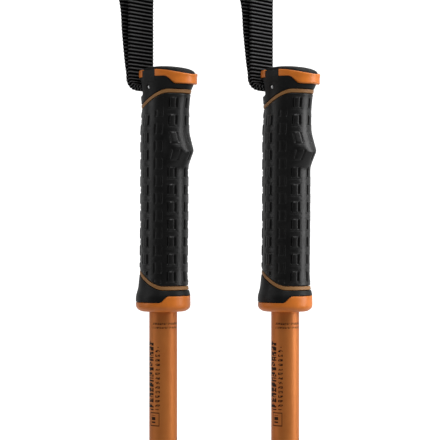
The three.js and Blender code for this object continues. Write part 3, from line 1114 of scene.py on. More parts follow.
    def _stitches(self) -> bpy.types.NodeTree:
        """Lay short thread stitches on the points of a line, along its edges.

        Returns:
            A tree that turns each edge of a wire into one stitch.
        """
        graph, given, wanted = new_group(
            "Stitches",
            "GeometryNodeTree",
            {
                "Line": SHAPE,
                "Thread": (FLOAT, 0.32),
                "Pitch": (FLOAT, 1.9),
                "Share": (FLOAT, 0.78),
                "Material": MATERIAL,
            },
            {"Stitches": SHAPE},
        )
        curve = graph.add("GeometryNodeMeshToCurve", given["Line"])
        points = graph.add("GeometryNodeResampleCurve", mode="LENGTH")
        graph.wire(points, Curve=curve.outputs[0], Length=given["Pitch"])
        stitch = graph.add("GeometryNodeMeshUVSphere")
        graph.wire(stitch, Segments=8, Rings=6, Radius=1.0)
        thread, pitch = Term(graph, given["Thread"]), Term(graph, given["Pitch"])
        size = graph.add(
            "ShaderNodeCombineXYZ", thread * 1.25, thread, pitch * given["Share"] * 0.5
        )
        align = graph.add("FunctionNodeAlignRotationToVector", axis="Z")
        graph.wire(align, Vector=graph.add("GeometryNodeInputTangent").outputs[0])
        put = graph.add("GeometryNodeInstanceOnPoints")
        graph.wire(
            put, Points=points.outputs[0], Instance=stitch.outputs[0],
            Rotation=align.outputs[0], Scale=size.outputs[0],
        )
        self._close(graph, put.outputs[0], given["Material"], wanted["Stitches"])
        return graph.tree

    def _knurl(self) -> bpy.types.NodeTree:
        """Cut flutes into a round head, by the number turn of its points.

        Returns:
            A tree that reads the numbers turn and amount.
        """
        graph, given, wanted = new_group(
            "Knurled edge",
            "GeometryNodeTree",
            {
                "Head": SHAPE,
                "Flutes": (FLOAT, 18.0),
                "Depth": (FLOAT, 0.35),
                "Material": MATERIAL,
            },
            {"Head": SHAPE},
        )
        turn, amount = (self._numbered(graph, name) for name in ("turn", "amount"))
        wave = (turn * given["Flutes"] / 360.0).modulo(1.0)
        flute = abs(wave - 0.5).ramp(0.1, 0.45, 1.0, 0.0)
        push = flute * amount * given["Depth"] * -1.0
        self._close(
            graph, self._push(graph, given["Head"], push), given["Material"], wanted["Head"]
        )
        return graph.tree


# ---- The grip ----------------------------------------------------------------------------
# Heights over the grip's base, half depth, half width and forward offset.
STATIONS = (
    (-3, 8.5, 8.5, 0), (-0.4, 13.6, 13.6, 0), (1.2, 16.7, 16.7, 0), (3, 17.6, 17.6, 0),
    (10, 17.5, 17.4, 0),
    (15, 16.6, 15.2, 0.1), (20, 16.2, 14.8, 0.2), (25, 15.8, 14.3, 0.4), (60, 15.8, 14.3, 0.9),
    (115, 15.8, 14.3, 1.1), (120, 15.9, 14.4, 1.6), (128, 15.7, 14.1, 1.9),
    (136, 16.5, 14.4, 1.9), (142, 17.6, 14.7, 2.2), (146, 19.0, 15.2, 3.2),
    (150, 20.2, 15.8, 4.2), (158, 20.2, 15.8, 4.2),
)
# The strap pin's X and Z, and the radii inside the black skins and the orange rings.
PIN = (0.0, GRIP_BASE + 143.1)
INSIDE, INSIDE_ORANGE = 11.6, 11.2
# The tread: its rows' pitch, its phase, half a level bar and half a column in degrees, the
# middles of its columns in degrees, and where they lie in the tread's own even measure.
TREAD_ROW, TREAD_PHASE, LEVEL_BAR, COLUMN_HALF = 11.05, 52.3, 1.45, 8.3
COLUMNS = (-212.0, -178, -142, -106, -66, -37, 15, 44, 84, 116, 148, 182)
EVEN_COLUMNS = (-201.0, -165, -129, -93, -57, -21, 21, 57, 93, 129, 165, 201)


def eased(value: np.ndarray, start: float, end: float) -> np.ndarray:
    """Go smoothly from 0 at start to 1 at end."""
    share = np.clip((np.asarray(value, float) - start) / (end - start), 0, 1)
    return share * share * (3 - 2 * share)


def rounded(steps: int, radius: float) -> list[tuple[float, float, float]]:
    """Share a run from 0 to 1 into steps, with a quarter round at each end.

    Args:
        steps: How many steps lie between the rounds.
        radius: The round's radius, in millimetres.

    Returns:
        A share, a distance inwards and a shift in height for each step.
    """
    turn = np.linspace(0, math.pi / 2, 5)
    start = [(0.0, radius * (1 - math.sin(t)), radius * (1 - math.cos(t))) for t in turn]
    middle = [(s, 0.0, 0.0) for s in np.linspace(0, 1, steps + 2)[1:-1]]
    end = [(1.0, inwards, -shift) for _, inwards, shift in start[::-1]]
    return start + middle + end


def softened(line: np.ndarray, width: float) -> np.ndarray:
    """Blur numbers that lie 0.1 mm apart by a width in millimetres."""
    blur = np.exp(-(np.arange(-40, 41) * 0.1 / width) ** 2 / 2)
    return np.convolve(np.pad(line, 40, mode="edge"), blur / blur.sum(), mode="valid")


@dataclass
class GripForm:
    """The outside of the grip, by the angle from its front and the height over its base."""

    ledge_peak: float = 102.0
    ledge_out: float = 5.2
    ledge_reach: float = 56.0
    ledge_over: float = 17.0
    ledge_under: float = 11.0
    trim_half: float = 1.15
    groove: float = 0.4
    ring_rise: float = 154.4
    top_fall: float = 0.0055
    table: np.ndarray = field(init=False)
    levels: np.ndarray = field(init=False)
    over: np.ndarray = field(init=False)
    crest: np.ndarray = field(init=False)

    def __post_init__(self) -> None:
        """Smooth the stations into an even table, and the ledge's profile."""
        self.levels = np.arange(-5.0, 165.0, 0.1)
        heights, *columns = np.array(STATIONS, float).T
        self.table = np.array(
            [softened(np.interp(self.levels, heights, column), 0.9) for column in columns]
        )
        self.over = np.arange(-30.0, 30.0, 0.1)
        up = np.clip(1 - np.maximum(self.over, 0) / self.ledge_over, 0, 1) ** 1.3
        down = np.clip(1 - np.maximum(-self.over, 0) / self.ledge_under, 0, 1) ** 1.1
        self.crest = softened(np.minimum(up, down), 1.0)

    def skin(self, angle: np.ndarray, height: np.ndarray, proud: Value = 0.0) -> np.ndarray:
        """Give points on the outside.

        Args:
            angle: Degrees from the front.
            height: Millimetres over the grip's base.
            proud: How far the points are moved out.

        Returns:
            The points in the pole's frame, one row each.
        """
        depth, width, offset = (np.interp(height, self.levels, row) for row in self.table)
        share = np.clip(np.abs(angle) / self.ledge_reach, 0, 1)
        crest = np.interp(height - self.ledge_peak - 3 * share**2, self.over, self.crest)
        turn = np.radians(angle)
        x = offset + (depth + proud) * np.cos(turn) + self.ledge_out * crest * (1 - share**4)
        y = (width + proud) * np.sin(turn)
        return np.stack([x, y, GRIP_BASE + np.broadcast_to(height, x.shape)], axis=-1)

    def fall(self, forward: np.ndarray) -> np.ndarray:
        """Give how far the head's top lies lower towards the front."""
        return self.top_fall * np.maximum(forward, 0) ** 2

    def upper_trim(self, angle: np.ndarray) -> np.ndarray:
        """Give the height of the upper trim line."""
        return 140.4 - 9.2 * eased(np.abs(angle), 48, 135)

    def lower_trim(self, angle: np.ndarray) -> np.ndarray:
        """Give the height of the lower trim line."""
        return 15.1 + 10.0 * eased(np.abs(angle), 52, 145)

    def collar_top(self, angle: np.ndarray) -> np.ndarray:
        """Give the height of the collar's upper edge, lower at the sides."""
        return 10.1 - 4.2 * eased(np.abs(angle), 39, 59)

    def ring_bottom(self, angle: np.ndarray) -> np.ndarray:
        """Give the height of the head ring's lower edge, higher at the sides."""
        return 145.0 + 4.8 * eased(np.abs(angle), 36, 66)


Edge = Callable[[np.ndarray], np.ndarray]


class Grip:
    """One pole's grip: the black skins, and the orange core that shows between them."""

    def __init__(self, bench: Bench, patterns: Patterns) -> None:
        """Keep what the pieces are made with.

        Args:
            bench: The pole's bench.
            patterns: The geometry trees.
        """
        self.bench = bench
        self.patterns = patterns
        self.form = GripForm()
        self.angles = np.linspace(-180, 180, 193)[:-1]

    def band(
        self, name: str, low: Edge, high: Edge, inner: float, rows: int = 8, radius: float = 0.35,
        proud: float = 0.0,
    ) -> bpy.types.Object:
        """Make a closed band of the grip's skin.

        Args:
            name: The piece's name, without its side.
            low: The lower edge's height by angle.
            high: The upper edge's height by angle.
            inner: The radius of its inside.
            rows: How many rows of points lie between the rounded edges.
            radius: The radius of its edges.
            proud: How far it stands over the skin.

        Returns:
            The new object.
        """
        angles = self.angles
        bottom, top = low(angles), high(angles)
        loops = []
        for share, inwards, shift in rounded(rows, radius):
            height = bottom + (top - bottom) * share + shift
            loops.append(self.form.skin(angles, height, proud - inwards))
        turn = np.radians(angles)
        loops += [around(inner, turn, GRIP_BASE + edge) for edge in (top, bottom)]
        made = self.bench.loft(name, loops, True)
        outward(made)
        return made

    def slot_tool(self) -> bpy.types.Object:
        """Make the tool that cuts the strap's slot."""
        outline = (
            (4.4, -4.2), (4.4, 4.2), (-6, 4.2), (-17, 6.2), (-30, 6.2), (-30, -5.8), (-12, -5.8),
            (-4, -4.2),
        )
        points = [(x, PIN[1] + z) for x, z in outline]
        tool = self.bench.outline("slot_tool", points, -12.5, 12.5, across=True)
        bevel(tool, 0.8, 3)
        return tool

    def cheek_tool(self, grow: float, side: int) -> bpy.types.Object:
        """Make a block where the head reaches up through the ring.

        Args:
            grow: How much wider the block is on each side.
            side: Which side of the head, -1 or 1.

        Returns:
            The block.
        """
        outline = rectangle(-5.6 - grow, 6.2 + grow, 5.0 * side, 30.0 * side)
        low, high = GRIP_BASE + 140, GRIP_BASE + 154.6
        return self.bench.outline("cheek_tool", outline, low, high)

    def dress(self) -> None:
        """Build every piece of the grip."""
        self._core()
        self._head()
        self._sleeve()
        self._pin()

    def _core(self) -> None:
        """Build the orange core: the head ring, both trim lines, the collar and the tube."""
        form, bench = self.form, self.bench
        ring = self._ring()
        for side in (-1, 1):
            carve(ring, self.cheek_tool(0.15, side))
        carve(ring, self.slot_tool())
        bench.settle(ring, "orange_plastic", "pole", smooth=40)
        for name, line in (("upper_trim", form.upper_trim), ("lower_trim", form.lower_trim)):
            trim = self.band(
                name,
                lambda a, at=line: at(a) - form.trim_half,
                lambda a, at=line: at(a) + form.trim_half,
                INSIDE_ORANGE, rows=3, radius=0.4, proud=0.1,
            )
            # The trims' darker orange is painted shade.
            bench.settle(trim, "trim_plastic", "pole", slot="orange_plastic")
        collar = self.band("base_collar", lambda a: 0 * a, form.collar_top, 9.3, 14, 0.5)
        bench.settle(collar, "orange_plastic", "pole")
        base = GRIP_BASE
        core = bench.lathe(
            "core",
            [(0, base + 136.95), (9.35, base + 136.95), (9.35, base + 0.6), (11.4, base + 0.6),
             (11.4, base + 151.8), (0, base + 151.8)],
        )
        carve(core, self.slot_tool())
        bench.settle(core, "orange_plastic", "pole", ["grip_core"])

    def _ring(self) -> bpy.types.Object:
        """Make the ring round the top of the head.

        Returns:
            The ring, before the cheeks and the slot are cut from it.
        """
        form, angles = self.form, self.angles
        low = form.ring_bottom(angles)
        rim = form.skin(angles, 154.0, 0.3)
        top = form.ring_rise - form.fall(rim[:, 0])
        room = 0.9 * eased(np.abs(angles), 148, 168)
        loops = []
        for share, inwards, shift in rounded(6, 0.6):
            height = low + (top - low) * share + shift
            upright = form.skin(angles, np.maximum(height, 149.3), 0.3 - inwards - room)
            upright[:, 2] = GRIP_BASE + height
            loops.append(upright)
        turn = np.radians(angles)
        for height, radius in ((top - 0.1, None), (top - 1.2, INSIDE_ORANGE), (low, INSIDE_ORANGE)):
            if radius is None:
                loops.append(form.skin(angles, height, -1.6))
            else:
                loops.append(around(radius, turn, GRIP_BASE + height))
        made = self.bench.loft("head_ring", loops, True)
        outward(made)
        return made

    def _head(self) -> None:
        """Build the black head shell with its cheeks, slot and pin recesses, and the cap."""
        form, bench = self.form, self.bench
        shell = self.band(
            "head_shell",
            lambda a: form.upper_trim(a) + form.trim_half + form.groove,
            lambda a: form.ring_bottom(a) - 0.15,
            INSIDE, rows=16, radius=0.4,
        )
        for side in (-1, 1):
            cheek = self.band(
                "cheek", lambda a: 0 * a + 146.0, lambda a: 0 * a + 153.9, INSIDE, 6, 0.5, 0.12
            )
            carve(cheek, self.cheek_tool(0.0, side), "INTERSECT")
            carve(shell, cheek, "UNION")
        carve(shell, self.slot_tool())
        for side in (-1, 1):
            ends = [(1.9, side * 14.2), (1.9, side * 20.0)]
            carve(shell, bench.rod("recess", ends, PIN, 24))
        bench.settle(shell, "black_plastic", "pole", ["head_shell"], smooth=40)
        angles = self.angles
        rim = form.skin(angles, 154.0, -1.5)
        middle = np.array([4.2, 0.0])
        loops = []
        for share, rise in (
            (0.6, -1.6), (1.0, -1.6), (1.0, -0.2), (0.995, 0.3), (0.97, 0.8), (0.9, 1.5),
            (0.76, 2.2), (0.55, 2.65), (0.3, 2.9), (0.1, 2.98), (0.0, 3.0),
        ):
            flat = middle + (rim[:, :2] - middle) * share
            tilt = form.fall(flat[:, 0]) * (0.75 if rise > 0 else 1)
            loops.append(
                np.column_stack([flat, GRIP_BASE + form.ring_rise - tilt + rise - 0.3])
            )
        cap = bench.loft("top_cap", loops, False)
        weld(cap, 1e-3)
        outward(cap)
        # The cap's darker copy of the black plastic is painted shade.
        bench.settle(cap, "cap_plastic", "pole", ["top_cap"], smooth=50, slot="black_plastic")
        cuff = self.band(
            "lower_cuff",
            lambda a: form.collar_top(a) + 0.25,
            lambda a: form.lower_trim(a) - form.trim_half - form.groove,
            INSIDE, rows=14, radius=0.4, proud=0.15,
        )
        bench.settle(cuff, "black_plastic", "pole", ["lower_cuff"], smooth=40)

    def _sleeve(self) -> None:
        """Build the rubber sleeve; its woven tread is raised by the tread tree."""
        form, bench = self.form, self.bench
        edges = [c + s * COLUMN_HALF for c in COLUMNS[1:-1] for s in (-1, 1)]
        angles = spaced(-180.0, 180.0, edges, 2.4, 0.75, 2.2)[:-1]
        marks = [
            TREAD_PHASE + TREAD_ROW * k + half + 8.8 + shift for k in range(-4, 9)
            for half in (0, TREAD_ROW / 2) for shift in (-LEVEL_BAR, LEVEL_BAR)
        ]
        middle = spaced(27.5, 127.0, marks, 0.75, 0.3, 0.6)
        edge_low = form.lower_trim(angles) + form.trim_half + form.groove
        edge_high = form.upper_trim(angles) - form.trim_half - form.groove
        radius, quarter = 0.5, np.linspace(0, math.pi / 2, 5)
        edge = [(radius * (1 - math.cos(t)), radius * (1 - math.sin(t))) for t in quarter]
        rows = [(edge_low + rise, inwards) for rise, inwards in edge]
        rows += [(edge_low + radius + (middle[0] - edge_low - radius) * s, 0.0)
                 for s in np.linspace(0, 1, 30)[1:-1]]
        rows += [(0 * angles + z, 0.0) for z in middle]
        rows += [(middle[-1] + (edge_high - radius - middle[-1]) * s, 0.0)
                 for s in np.linspace(0, 1, 32)[1:-1]]
        rows += [(edge_high - rise, inwards) for rise, inwards in edge[::-1]]
        loops = [form.skin(angles, z, 0.1 - inwards) for z, inwards in rows]
        turn = np.radians(angles)
        loops += [around(INSIDE, turn, GRIP_BASE + edge) for edge in (edge_high, edge_low)]
        sleeve = bench.loft("grip_sleeve", loops, True)
        outward(sleeve)
        heights = np.array([z for z, _ in rows] + [edge_high, edge_low])
        turns = np.broadcast_to(np.abs(np.interp(angles, COLUMNS, EVEN_COLUMNS)), heights.shape)
        from_edge = np.minimum(heights - edge_low, edge_high - heights)
        inner = np.zeros_like(heights)
        inner[: len(rows)] = 1
        # The tread is bare under the trim at the sides, and shallower on the ledge and in a
        # worn strip to its left.
        bare = eased(turns, 34, 60) * eased(heights, 126.0, 129.0)
        set_numbers(sleeve, "turn", turns)
        set_numbers(sleeve, "rise", heights)
        set_numbers(sleeve, "edge", from_edge)
        on_ledge = eased(heights, 90.0, 96.0) * (1 - eased(heights, 114.0, 120.0))
        on_ledge = on_ledge * (1 - eased(np.abs(angles), 40, 60))
        worn = eased(angles, -92, -80) * (1 - eased(angles, -52, -44))
        set_numbers(sleeve, "amount", inner * (1 - bare) * (1 - 0.55 * on_ledge) * (1 - 0.5 * worn))
        run_nodes(
            sleeve, self.patterns.tread,
            {
                "Row Step": TREAD_ROW, "Phase": TREAD_PHASE,
                "Material": bench.finishes["black_rubber"],
            },
        )
        bench.settle(sleeve, "", "pole", ["grip_sleeve"], smooth=60, slot="black_rubber")

    def _pin(self) -> None:
        """Build the strap's pin, with a domed head at each end."""
        dome = [(0.0, -14.55), (0.5, -14.5), (0.95, -14.3), (1.15, -14.0), (1.2, -13.6)]
        profile = dome + [(radius, -y) for radius, y in dome[::-1]]
        pin = self.bench.rod("strap_pin", profile, PIN, 40)
        self.bench.settle(pin, "steel", "pole", ["strap_pin"], smooth=50)


def spaced(
    low: float, high: float, marks: Sequence[float], reach: float, fine: float, coarse: float
) -> np.ndarray:
    """Space numbers closely near some marks and widely elsewhere.

    Args:
        low: The first number.
        high: The last number.
        marks: Where the spacing is fine.
        reach: How far round a mark the spacing stays fine.
        fine: The fine spacing.
        coarse: The wide spacing.

    Returns:
        The numbers, with both ends.
    """
    line = np.linspace(low, high, int((high - low) / fine * 8) + 1)
    near = np.min(np.abs(line[:, None] - np.asarray(marks)[None, :]), axis=1)
    step = fine + (coarse - fine) * eased(near, reach, 2 * reach)
    total = np.concatenate([[0], np.cumsum(np.diff(line) / ((step[1:] + step[:-1]) / 2))])
    count = int(round(total[-1]))
    return np.interp(np.linspace(0, total[-1], count + 1), total, line)


# ---- The wrist strap ---------------------------------------------------------------------
# Where the strap's doubled webbing leaves the head, and its line from there, relative to it.
HINGE = (-19.85, GRIP_BASE + 151.9)
RUN = (
    (0.9, 1), (0.9, 25), (0.95, 48), (2, 85), (5, 120), (6.5, 148), (3.5, 172), (-5.5, 188),
    (-17, 193), (-28.5, 186), (-34, 168), (-33, 142), (-26, 108), (-16.5, 78), (-6.8, 48),
    (-4.6, 28), (-2.4, 10), (-0.9, 1),
)
# The eye round the strap's bush, by its X and its height over the grip's base.
EYE = (
    (-8.0, 141.9), (-4.0, 140.6), (0.0, 140.0), (2.2, 140.9), (3.1, 143.1), (2.2, 145.3),
    (0.0, 146.2), (-2.3, 145.3), (-5.0, 143.6), (-8.0, 143.8),
)


def smooth_line(points: Sequence[Sequence[float]], closed: bool, step: float) -> np.ndarray:
    """Run a smooth line through points and space it evenly.

    Args:
        points: The points to go through.
        closed: Whether the line returns to its start.
        step: The spacing.

    Returns:
        Points along the line; a closed line doesn't repeat its first point.
    """
    base = np.array(points, float)
    around = np.concatenate([base[-1:], base, base[:2]]) if closed else np.concatenate(
        [2 * base[:1] - base[1:2], base, 2 * base[-1:] - base[-2:-1]]
    )
    t = np.linspace(0, 1, 33)[:-1, None]
    parts = []
    for a, b, c, d in zip(around, around[1:], around[2:], around[3:]):
        parts.append(
            0.5 * (2 * b + (c - a) * t + (2 * a - 5 * b + 4 * c - d) * t**2
                   + (3 * b - a - 3 * c + d) * t**3)
        )
    dense = np.concatenate(parts + [base[:1] if closed else base[-1:]])
    length = np.concatenate([[0], np.cumsum(np.linalg.norm(np.diff(dense, axis=0), axis=1))])
    count = int(round(length[-1] / step))
    at = np.linspace(0, length[-1], count + 1)
    line = np.stack([np.interp(at, length, dense[:, i]) for i in range(dense.shape[1])], axis=1)
    return line[:-1] if closed else line


@dataclass
class WristStrap:
    """The webbing: round its bush in the head, out, up round the wrist and back."""

    bench: Bench
    patterns: Patterns
    width: float = 24.0
    thick: float = 1.5
    pitch: float = 2.4
    step: float = 0.4

    def line(self) -> np.ndarray:
        """Give the webbing's middle line in X and Z, from the front run's foot, closed."""
        x0, z0 = HINGE
        run = [(x0 + x, z0 + z) for x, z in RUN]
        bend, turns = (-12.4, GRIP_BASE + 151.0), (190, 210, 230, 250, 265)
        outer, inner = arc(bend, 8.35, turns), arc(bend, 6.55, turns[::-1])
        eye = [(x, GRIP_BASE + z) for x, z in EYE]
        return smooth_line(run + outer + eye + inner, True, self.step)

    def dress(self) -> None:
        """Build the webbing, its sewn lap and its stitches."""
        line = self.line()
        length = len(line) * self.step
        strap = self._strip("strap", line, True, length / round(length / self.pitch))
        self.bench.settle(
            strap, "", "straps", ["strap_loop", "strap_anchor"], smooth=70, slot="webbing"
        )
        first = int(np.argmax(line[:, 1])) + int(38 / self.step)
        lap = line[first: first + int(46 / self.step)]
        tangent = np.gradient(lap, axis=0)
        tangent /= np.linalg.norm(tangent, axis=1)[:, None]
        inside = lap + np.stack([-tangent[:, 1], tangent[:, 0]], axis=1) * -(self.thick + 0.1)
        piece = self._strip("strap_lap", inside, False, self.pitch)
        self.bench.settle(piece, "", "straps", smooth=70, slot="webbing")
        self._sew(lap, tangent)

    def _strip(self, name: str, line: np.ndarray, closed: bool, pitch: float) -> bpy.types.Object:
        """Make webbing of even thickness along a line.

        Args:
            name: The piece's name, without its side.
            line: Its middle line in X and Z, evenly spaced.
            closed: Whether the line closes.
            pitch: The distance between its ribs.

        Returns:
            The ribbed webbing.
        """
        if closed:
            tangent = np.roll(line, -1, axis=0) - np.roll(line, 1, axis=0)
        else:
            tangent = np.gradient(line, axis=0)
        tangent /= np.linalg.norm(tangent, axis=1)[:, None]
        normal = np.stack([-tangent[:, 1], tangent[:, 0]], axis=1)
        half, thick = self.width / 2, self.thick / 2
        turn = np.linspace(-math.pi / 2, math.pi / 2, 7)[1:-1]
        flats = np.linspace(-half + thick, half - thick, 25)
        section = [(y, thick, 1.0) for y in flats]
        section += [(half - thick + thick * math.cos(t), thick * math.sin(t), 0.6)
                    for t in turn[::-1]]
        section += [(y, -thick, 1.0) for y in flats[::-1]]
        section += [(-half + thick - thick * math.cos(t), thick * math.sin(t), 0.6) for t in turn]
        length = np.arange(len(line)) * self.step
        loops = [
            np.array([[x + dx * n, y, z + dz * n] for y, n, _ in section])
            for (x, z), (dx, dz) in zip(line, normal)
        ]
        strip = self.bench.loft(name, loops, closed)
        outward(strip)
        across = np.array([y for y, _, _ in section])
        faces = np.array([f for _, _, f in section])
        shape = (len(line), len(section))
        set_numbers(strip, "along", np.broadcast_to(length[:, None], shape))
        set_numbers(strip, "across", np.broadcast_to(across[None, :], shape))
        set_numbers(strip, "face", np.broadcast_to(faces[None, :], shape))
        self._chart(strip, length, across)
        run_nodes(
            strip, self.patterns.ribs,
            {"Rib Pitch": pitch, "Material": self.bench.finishes["webbing"]},
        )
        return strip

    @staticmethod
    def _chart(strip: bpy.types.Object, length: np.ndarray, across: np.ndarray) -> None:
        """Give a strip a UV map in metres, along and across.

        Args:
            strip: The strip, whose points run across and then along.
            length: Each row's distance along.
            across: Each column's distance across.
        """
        data = strip.data
        corners = np.empty(len(data.loops), int)
        data.loops.foreach_get("vertex_index", corners)
        layer = data.uv_layers.new(name="UVMap")
        row, column = corners // len(across), corners % len(across)
        chart = np.stack([length[row], across[column]], axis=1) * MM
        layer.data.foreach_set("uv", chart.ravel())

    def _sew(self, lap: np.ndarray, tangent: np.ndarray) -> None:
        """Sew the lap with a crossed box of stitches on both faces.

        Args:
            lap: The lap's middle line in X and Z.
            tangent: Its direction.
        """
        normal = np.stack([-tangent[:, 1], tangent[:, 0]], axis=1)
        length = np.arange(len(lap)) * self.step
        corners = rectangle(4.0, length[-1] - 4.0, 3.0 - self.width / 2, self.width / 2 - 3.0)
        runs = list(zip(corners, corners[1:] + corners[:1]))
        runs += [(corners[0], corners[2]), (corners[3], corners[1])]
        points, edges = [], []
        for out in (self.thick / 2 + 0.3, -(self.thick * 1.5 + 0.4)):
            for (s0, y0), (s1, y1) in runs:
                steps = max(2, int(math.hypot(s1 - s0, y1 - y0) / 0.8))
                start = len(points)
                for share in np.linspace(0, 1, steps + 1):
                    s, y = s0 + (s1 - s0) * share, y0 + (y1 - y0) * share
                    at = [np.interp(s, length, lap[:, k] + normal[:, k] * out) for k in (0, 1)]
                    points.append((at[0], y, at[1]))
                edges += [(start + i, start + i + 1) for i in range(steps)]
        data = bpy.data.meshes.new(f"{self.bench.side.value}_strap_stitches")
        data.from_pydata(points, edges, [])
        wire = bpy.data.objects.new(data.name, data)
        bpy.context.scene.collection.objects.link(wire)
        run_nodes(wire, self.patterns.stitches, {"Material": self.bench.finishes["thread"]})
        self.bench.settle(wire, "", "straps", smooth=60, slot="webbing")


# ---- The shafts --------------------------------------------------------------------------
@dataclass
class Shafts:
    """The two tubes of a pole."""

    bench: Bench
    upper_radius: float = 9.0
    lower_radius: float = 7.9
    wall: float = 0.75

    def dress(self) -> None:
        """Build both tubes."""
        self._tube("upper_shaft", self.upper_radius, 214.3, GRIP_BASE + 134.0, "upper_tube", "pole")
        self._tube("lower_shaft", self.lower_radius, 62.0, 560.0, "lower_tube", "lower")
        for node in ("shaft_plug", "lower_plug"):
            self.bench.dress_node(node, "pale_plastic")

    def _tube(
        self, name: str, radius: float, low: float, high: float, finish: str, body: str
    ) -> None:
        """Build one tube with rolled ends.

        Args:
            name: The CAD node it stands for.
            radius: Its outside radius.
            low: Its lower end.
            high: Its upper end.
            finish: The short name of its material.
            body: The body it rides on.
        """
        inner, lip = radius - self.wall, 0.25
        levels = np.linspace(low + lip, high - lip, 24)
        profile = [(inner, low + lip), (inner + lip, low), (radius - lip, low)]
        profile += [(radius, z) for z in levels]
        profile += [(radius - lip, high), (inner + lip, high), (inner, high - lip)]
        tube = self.bench.lathe(name, profile)

        def chart(points: np.ndarray) -> np.ndarray:
            """Give each corner its turn from the front and its height in metres."""
            turn = np.arctan2(points[:, 1], points[:, 0]) / (2 * math.pi)
            faces = turn.reshape(-1, 4)
            wraps = faces.max(axis=1) - faces.min(axis=1) > 0.5
            faces[wraps] = np.where(faces[wraps] < 0, faces[wraps] + 1, faces[wraps])
            return np.stack([faces.ravel(), points[:, 2] * MM], axis=1)

        set_uv(tube, chart)
        self.bench.settle(tube, finish, body, [name], smooth=40, slot="anodised")


